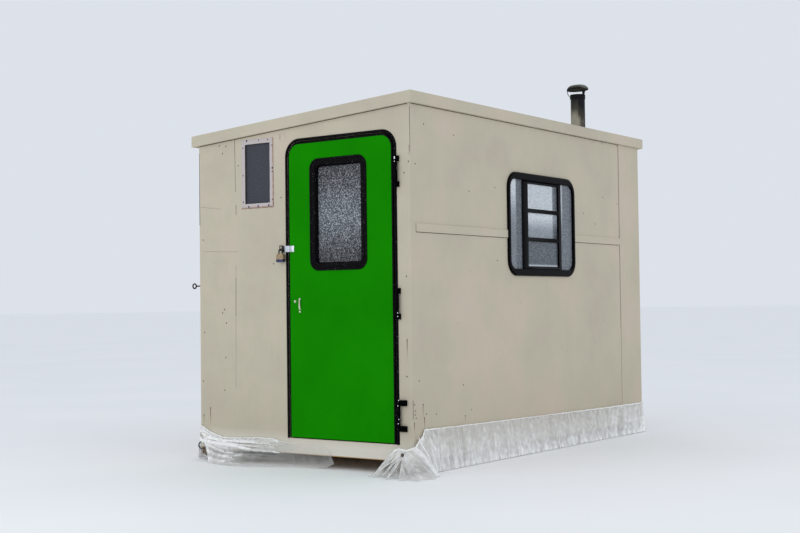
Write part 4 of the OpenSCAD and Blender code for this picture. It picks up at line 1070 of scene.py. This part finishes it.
def hangFilm(name, keys, count, length, seed, turned):
    points, faces, covers = [], [], []
    rows = skirt["rows"]
    for i in range(count + 1):
        share = i / count
        top, foot, belly, depth, cover, level = columnAt(keys, share)
        out = Vector((foot.x - top.x, foot.y - top.y, 0))
        out = out.normalized() if out.length > 1e-4 else Vector(outFront)
        out += Vector((0, 0, 0.5))
        control = top.lerp(foot, 0.42) + belly
        along = share * length
        for j in range(rows + 1):
            v = j / rows
            point = top * (1 - v) ** 2 + control * 2 * v * (1 - v) + foot * v ** 2
            upright = ridgeNoise(along * 21, v * 0.9, seed)
            levelled = ridgeNoise(along * 2.4, v * 7.5, seed + 7.3)
            fold = upright * (1 - level) + levelled * level
            crumple = noise.noise(Vector((along * 55, v * 8, seed + 3.1)))
            point = point + out * depth * ((fold - 0.4) * min(1, 0.2 + 2.5 * v) + 0.3 * crumple)
            point.z = max(0.0015, point.z)
            points.append(point)
            stopped = cover.x * (1 - v) ** 2 + cover.y * 2 * v * (1 - v) + cover.z * v ** 2
            strong = min(1.0, depth / 0.008) ** 1.5                # shallow folds show little
            crease = strong * max(0, fold - 0.74) / 0.26
            stopped = (stopped * (1 + strong * (0.45 * fold - 0.28) + 0.2 * crumple)
                       + 0.42 * crease * stopped ** 0.5)
            stopped = min(0.975, max(0.03, stopped))
            covers.append(1 - math.sqrt(1 - stopped))        # two layers share it
    for i in range(count):
        for j in range(rows):
            a = i * (rows + 1) + j
            faces.append((a, a + 1, a + rows + 2, a + rows + 1))
    if turned:
        points = turnedAbout(points)
    piece = newPiece(name, points, faces, "film", closed=False, sharp=180)
    piece.data.attributes.new("cover", "FLOAT", "POINT").data.foreach_set("value", covers)
    solid = piece.modifiers.new("thickness", "SOLIDIFY")
    solid.thickness, solid.offset = skirt["film"], 0
    return settle(piece)


# A bunched edge or fold: a lumpy bar along its points, thinned by the widths beside them
def bunchedFold(name, path, radius, seed, turned, spacing=0.006):
    points, widths = [], []
    for (here, w0), (there, w1) in zip(path, path[1:]):
        here, there = Vector(here), Vector(there)
        steps = max(2, int((there - here).length / spacing))
        for k in range(steps):
            point = here.lerp(there, k / steps)
            sway = Vector((0, 0, 0.0022 * noise.noise(point * 19 + Vector((seed, 0, 0)))))
            points.append(point + sway)
            widths.append((w0 + (w1 - w0) * k / steps) * (1 + 0.45 * noise.noise(point * 60)))
    points.append(Vector(path[-1][0]))
    widths.append(path[-1][1])
    made, faces = roundBar(turnedAbout(points) if turned else points, radius, 8, widths)
    return finishPiece(newPiece(name, made, faces, "hem", sharp=180), "root", "polythene")


def knotRim(degrees):
    turn = math.radians(degrees)
    return Vector(skirt["hubCentre"]) + skirt["hubRadius"] * Vector((math.cos(turn), 0,
                                                                     math.sin(turn)))


# Long side, with the corner drawn to a knot in front of the wall and fanned over the ground:
# the edge before the knot, the fan round it and the run along the wall
def sideKeys():
    edge = [(0.0, (0.582, -1.47, 0.004), (0.578, -1.5), (0, 0, 0), 0.001, (0.7, 0.7, 0.7)),
            (0.018, (0.59, -1.42, 0.012), (0.588, -1.525), (0, 0, 0.01), 0.002, (0.75, 0.5, 0.6)),
            (0.036, (0.644, -1.42, 0.07), (0.612, -1.495), (0, 0, 0.012), 0.003, (0.7, 0.3, 0.2)),
            (0.054, (0.659, -1.42, 0.103), (0.632, -1.545), (0, 0, 0.02), 0.003,
             (0.85, 0.75, 0.6)),
            (0.072, (0.6945, -1.42, 0.1335), (0.668, -1.468), (0, 0, -0.01), 0.004,
             (0.6, 0.3, 0.15))]
    fan = [(180, (0.69, -1.55), 0.02, 0.005, (0.85, 0.75, 0.65)),
           (205, (0.716, -1.47), -0.02, 0.004, (0.6, 0.4, 0.25)),
           (230, (0.748, -1.583), 0.02, 0.005, (0.85, 0.65, 0.5)),
           (252, (0.776, -1.482), -0.02, 0.004, (0.65, 0.42, 0.22)),
           (276, (0.832, -1.585), 0.014, 0.004, (0.8, 0.74, 0.5)),
           (300, (0.856, -1.535), -0.004, 0.003, (0.78, 0.7, 0.34)),
           (322, (0.926, -1.56), 0.006, 0.003, (0.78, 0.74, 0.42)),
           (345, (0.91, -1.495), 0.0, 0.002, (0.8, 0.74, 0.68)),
           (15, (0.957, -1.432), 0.008, 0.002, (0.7, 0.58, 0.5))]
    run = [(0.285, (0.768, -1.42, 0.134), (0.9, -1.38), (0.01, -0.004, 0.012), 0.004,
            (0.7, 0.62, 0.6)),
           (0.31, (0.8, -1.385, 0.15), (0.915, -1.33), (0.012, 0, 0.008), 0.006, (0.8, 0.75, 0.78)),
           (0.33, (0.788, -1.328, 0.186), (0.845, -1.28), (0.01, 0, 0), 0.007, (0.75, 0.72, 0.82)),
           (0.345, (0.786, -1.295, 0.206), (0.82, -1.25), (0.006, 0, 0), 0.005, (0.7, 0.7, 0.85)),
           (0.36, (0.784, -1.278, 0.233), (0.81, -1.21), (0.004, 0, 0), 0.004, (0.62, 0.66, 0.86)),
           (0.4, (0.783, -1.152, 0.23), (0.803, -1.13), (0.002, 0, 0), 0.0035, (0.58, 0.64, 0.88)),
           (0.46, (0.783, -0.937, 0.2267), (0.803, -0.93), (0.002, 0, 0), 0.003,
            (0.56, 0.62, 0.88)),
           (0.56, (0.783, -0.517, 0.221), (0.803, -0.5), (0.002, 0, 0), 0.003, (0.56, 0.62, 0.88)),
           (0.73, (0.783, 0.192, 0.2115), (0.802, 0.19), (0.002, 0, 0), 0.0025, (0.5, 0.6, 0.88)),
           (0.86, (0.783, 0.728, 0.2043), (0.802, 0.73), (0.002, 0, 0), 0.003, (0.6, 0.64, 0.88)),
           (1.0, (0.782, 1.369, 0.1986), (0.802, 1.369), (0.002, 0, 0), 0.0035,
            (0.66, 0.68, 0.88))]
    fanned = [(0.09 + 0.021 * k, knotRim(turn), foot, (0, 0, lift), depth, cover)
              for k, (turn, foot, lift, depth, cover) in enumerate(fan)]
    return [keyColumn(place, top, (*foot, skirt["footZ"]), belly, depth, cover)
            for place, top, foot, belly, depth, cover in edge + fanned + run]


# The band between the knot and the bunched edge that runs over it
def crownKeys():
    tops = (((0.6945, -1.42, 0.1335), 185), ((0.712, -1.421, 0.1405), 140),
            ((0.74, -1.421, 0.141), 90), ((0.768, -1.42, 0.134), 45), ((0.795, -1.39, 0.147), 8))
    return [keyColumn(k / 4, top, knotRim(turn), (0, -0.006, 0), 0.004, (0.85, 0.7, 0.5))
            for k, (top, turn) in enumerate(tops)]


# Front: the top sags from the left corner, the foot lies out over the ground; on the right the
# film is nearly clear and ends under the sill
def frontKeys():
    keys = []
    for place, top, foot, pull, depth, cover, level in (
            (0.0, (-0.785, 0.197), (-0.6, -1.49), 0.02, 0.004, (0.92, 0.88, 0.8), 0.8),
            (0.04, (-0.747, 0.189), (-0.57, -1.505), 0.03, 0.006, (0.92, 0.88, 0.78), 0.9),
            (0.11, (-0.681, 0.157), (-0.525, -1.525), 0.045, 0.009, (0.9, 0.82, 0.72), 0.9),
            (0.2, (-0.5885, 0.135), (-0.455, -1.55), 0.055, 0.01, (0.86, 0.72, 0.66), 0.9),
            (0.29, (-0.489, 0.137), (-0.38, -1.56), 0.06, 0.01, (0.88, 0.56, 0.5), 0.85),
            (0.45, (-0.325, 0.145), (-0.3, -1.55), 0.055, 0.008, (0.84, 0.34, 0.36), 0.85),
            (0.55, (-0.21, 0.148), (-0.22, -1.525), 0.05, 0.007, (0.76, 0.26, 0.32), 0.8),
            (0.63, (-0.135, 0.133), (-0.13, -1.482), 0.04, 0.005, (0.55, 0.24, 0.32), 0.7),
            (0.7, (-0.065, 0.126), (-0.03, -1.428), 0.02, 0.003, (0.2, 0.2, 0.38), 0.5),
            (0.8, (0.035, 0.131), (0.08, -1.398), 0.005, 0.003, (0.1, 0.14, 0.42), 0.4),
            (0.93, (0.172, 0.133), (0.2, -1.388), 0.002, 0.003, (0.06, 0.12, 0.4), 0.3),
            (1.0, (0.212, 0.1), (0.25, -1.386), 0.0, 0.002, (0.2, 0.3, 0.4), 0.2)):
        # The last tenth is lifted off the ground by up to 30 mm
        foot = (*foot, skirt["footZ"] + 0.03 * max(0, place - 0.9) / 0.1)
        belly = (-0.3 * pull, pull, -0.2 * pull)
        keys.append(keyColumn(place, (top[0], -1.3765, top[1]), foot, belly, depth, cover, level))
    return keys


sideHem = [((0.582, -1.47, 0.006), 0.7), ((0.59, -1.421, 0.012), 0.9), ((0.644, -1.421, 0.07), 1.3),
           ((0.659, -1.421, 0.103), 1.5), ((0.6945, -1.422, 0.1335), 1.7), ((0.72, -1.422, 0.142), 1.7),
           ((0.768, -1.421, 0.134), 1.4), ((0.8, -1.388, 0.15), 1.5), ((0.788, -1.328, 0.186), 1.1),
           ((0.786, -1.295, 0.206), 0.9), ((0.784, -1.278, 0.233), 1.2), ((0.7835, -1.152, 0.23), 1.0),
           ((0.7835, -0.937, 0.2267), 0.9), ((0.7835, -0.517, 0.221), 0.9), ((0.7835, 0.0, 0.214), 0.6),
           ((0.7835, 0.192, 0.2115), 1.0), ((0.7835, 0.728, 0.2043), 1.1), ((0.7825, 1.369, 0.1986), 1.3)]
frontHem = [((-0.785, -1.377, 0.197), 1.0), ((-0.747, -1.378, 0.189), 1.3), ((-0.681, -1.378, 0.157), 1.5),
            ((-0.5885, -1.378, 0.135), 1.3), ((-0.489, -1.378, 0.137), 1.0), ((-0.325, -1.378, 0.145), 0.8),
            ((-0.21, -1.378, 0.148), 0.6), ((-0.135, -1.378, 0.133), 0.5), ((-0.02, -1.378, 0.1275), 0.25)]
frontFolds = [
    [((-0.75, -1.4, 0.13), 2.2), ((-0.736, -1.404, 0.1126), 3.5), ((-0.642, -1.405, 0.104), 3.5),
     ((-0.49, -1.406, 0.095), 3.1), ((-0.378, -1.406, 0.081), 2.7), ((-0.231, -1.406, 0.0787), 1.8),
     ((-0.13, -1.402, 0.0745), 0.6)],
    [((-0.765, -1.385, 0.17), 1.9), ((-0.7, -1.395, 0.135), 2.7), ((-0.6, -1.395, 0.121), 2.4),
     ((-0.42, -1.392, 0.118), 1.6), ((-0.26, -1.39, 0.118), 0.6), ((-0.16, -1.386, 0.112), 0.25)],
    [((-0.74, -1.4, 0.155), 2.0), ((-0.68, -1.4, 0.128), 1.6), ((-0.52, -1.4, 0.108), 1.2),
     ((-0.36, -1.4, 0.1), 0.9), ((-0.2, -1.396, 0.094), 0.3)],
    [((-0.787, -1.35, 0.15), 0.8), ((-0.782, -1.376, 0.138), 1.1), ((-0.74, -1.403, 0.117), 1.2)],
    [((-0.787, -1.35, 0.135), 0.8), ((-0.782, -1.376, 0.124), 1.0), ((-0.738, -1.404, 0.108), 1.2)],
]
gatherFolds = [
    [((0.727, -1.424, 0.108), 1.0), ((0.70, -1.45, 0.085), 0.8), ((0.655, -1.485, 0.045), 0.7),
     ((0.626, -1.53, 0.008), 0.8)],
    [((0.733, -1.426, 0.099), 0.8), ((0.717, -1.47, 0.07), 0.6), ((0.69, -1.53, 0.015), 0.7)],
    [((0.741, -1.426, 0.099), 0.6), ((0.748, -1.48, 0.066), 0.5), ((0.749, -1.565, 0.012), 0.7)],
    [((0.787, -1.335, 0.2), 0.5), ((0.794, -1.345, 0.182), 0.7), ((0.8, -1.37, 0.16), 0.5)],
]


# The hollow of the knot: a pucker that runs in behind the rim, coloured darker than the film as painted
# shade
def knotHollow(name, turned):
    x, y, z = skirt["hubCentre"]
    points, sides = [], 18
    rings = ((0.0108, 0.001), (0.0085, 0.006), (0.005, 0.014), (0.0012, 0.022), (0.002, 0.0235),
             (0.0065, 0.015), (0.0105, 0.007), (0.0122, 0.002))
    for radius, deep in rings:
        for k in range(sides):
            turn = math.tau * k / sides
            size = radius * (1 + 0.12 * math.sin(4 * turn + 1))
            points.append(Vector((x + size * math.cos(turn), y + deep, z + size * math.sin(turn))))
    faces = ringFaces(len(rings), sides, looped=True)
    return finishPiece(newPiece(name, turnedAbout(points) if turned else points, faces, "pucker"),
                       "root", "polythene")


# The bunched upper edge and the loose folds of one film
def filmBars(name, hem, folds, seed, turned):
    bars = [bunchedFold(name + "Hem", hem, skirt["hemRadius"], seed, turned)]
    return bars + [bunchedFold(name + "Fold%d" % k, path, skirt["hemRadius"], seed + k, turned)
                   for k, path in enumerate(folds)]


for name, turned, seed in (("skirtRight", False, 11.0), ("skirtLeft", True, 23.0)):
    film = hangFilm(name, sideKeys(), 700, 3.5, seed, turned)
    crown = hangFilm(name + "Crown", crownKeys(), 40, 0.14, seed + 1, turned)
    extras = [crown, knotHollow(name + "Knot", turned)]
    extras += filmBars(name, sideHem, gatherFolds, seed, turned)
    finishPiece(film, "root", "polythene", "side_skirts", "skirt_gathers")
    finishPiece(crown, "root", "polythene")
for name, turned, seed in (("skirtFront", False, 5.0), ("skirtBack", True, 31.0)):
    film = hangFilm(name, frontKeys(), 340, 1.05, seed, turned)
    extras = filmBars(name, frontHem, frontFolds, seed, turned)
    finishPiece(film, "root", "polythene", "end_skirts")
print("scene: skirt ready")

setCamera()
setLight()
layFloor()
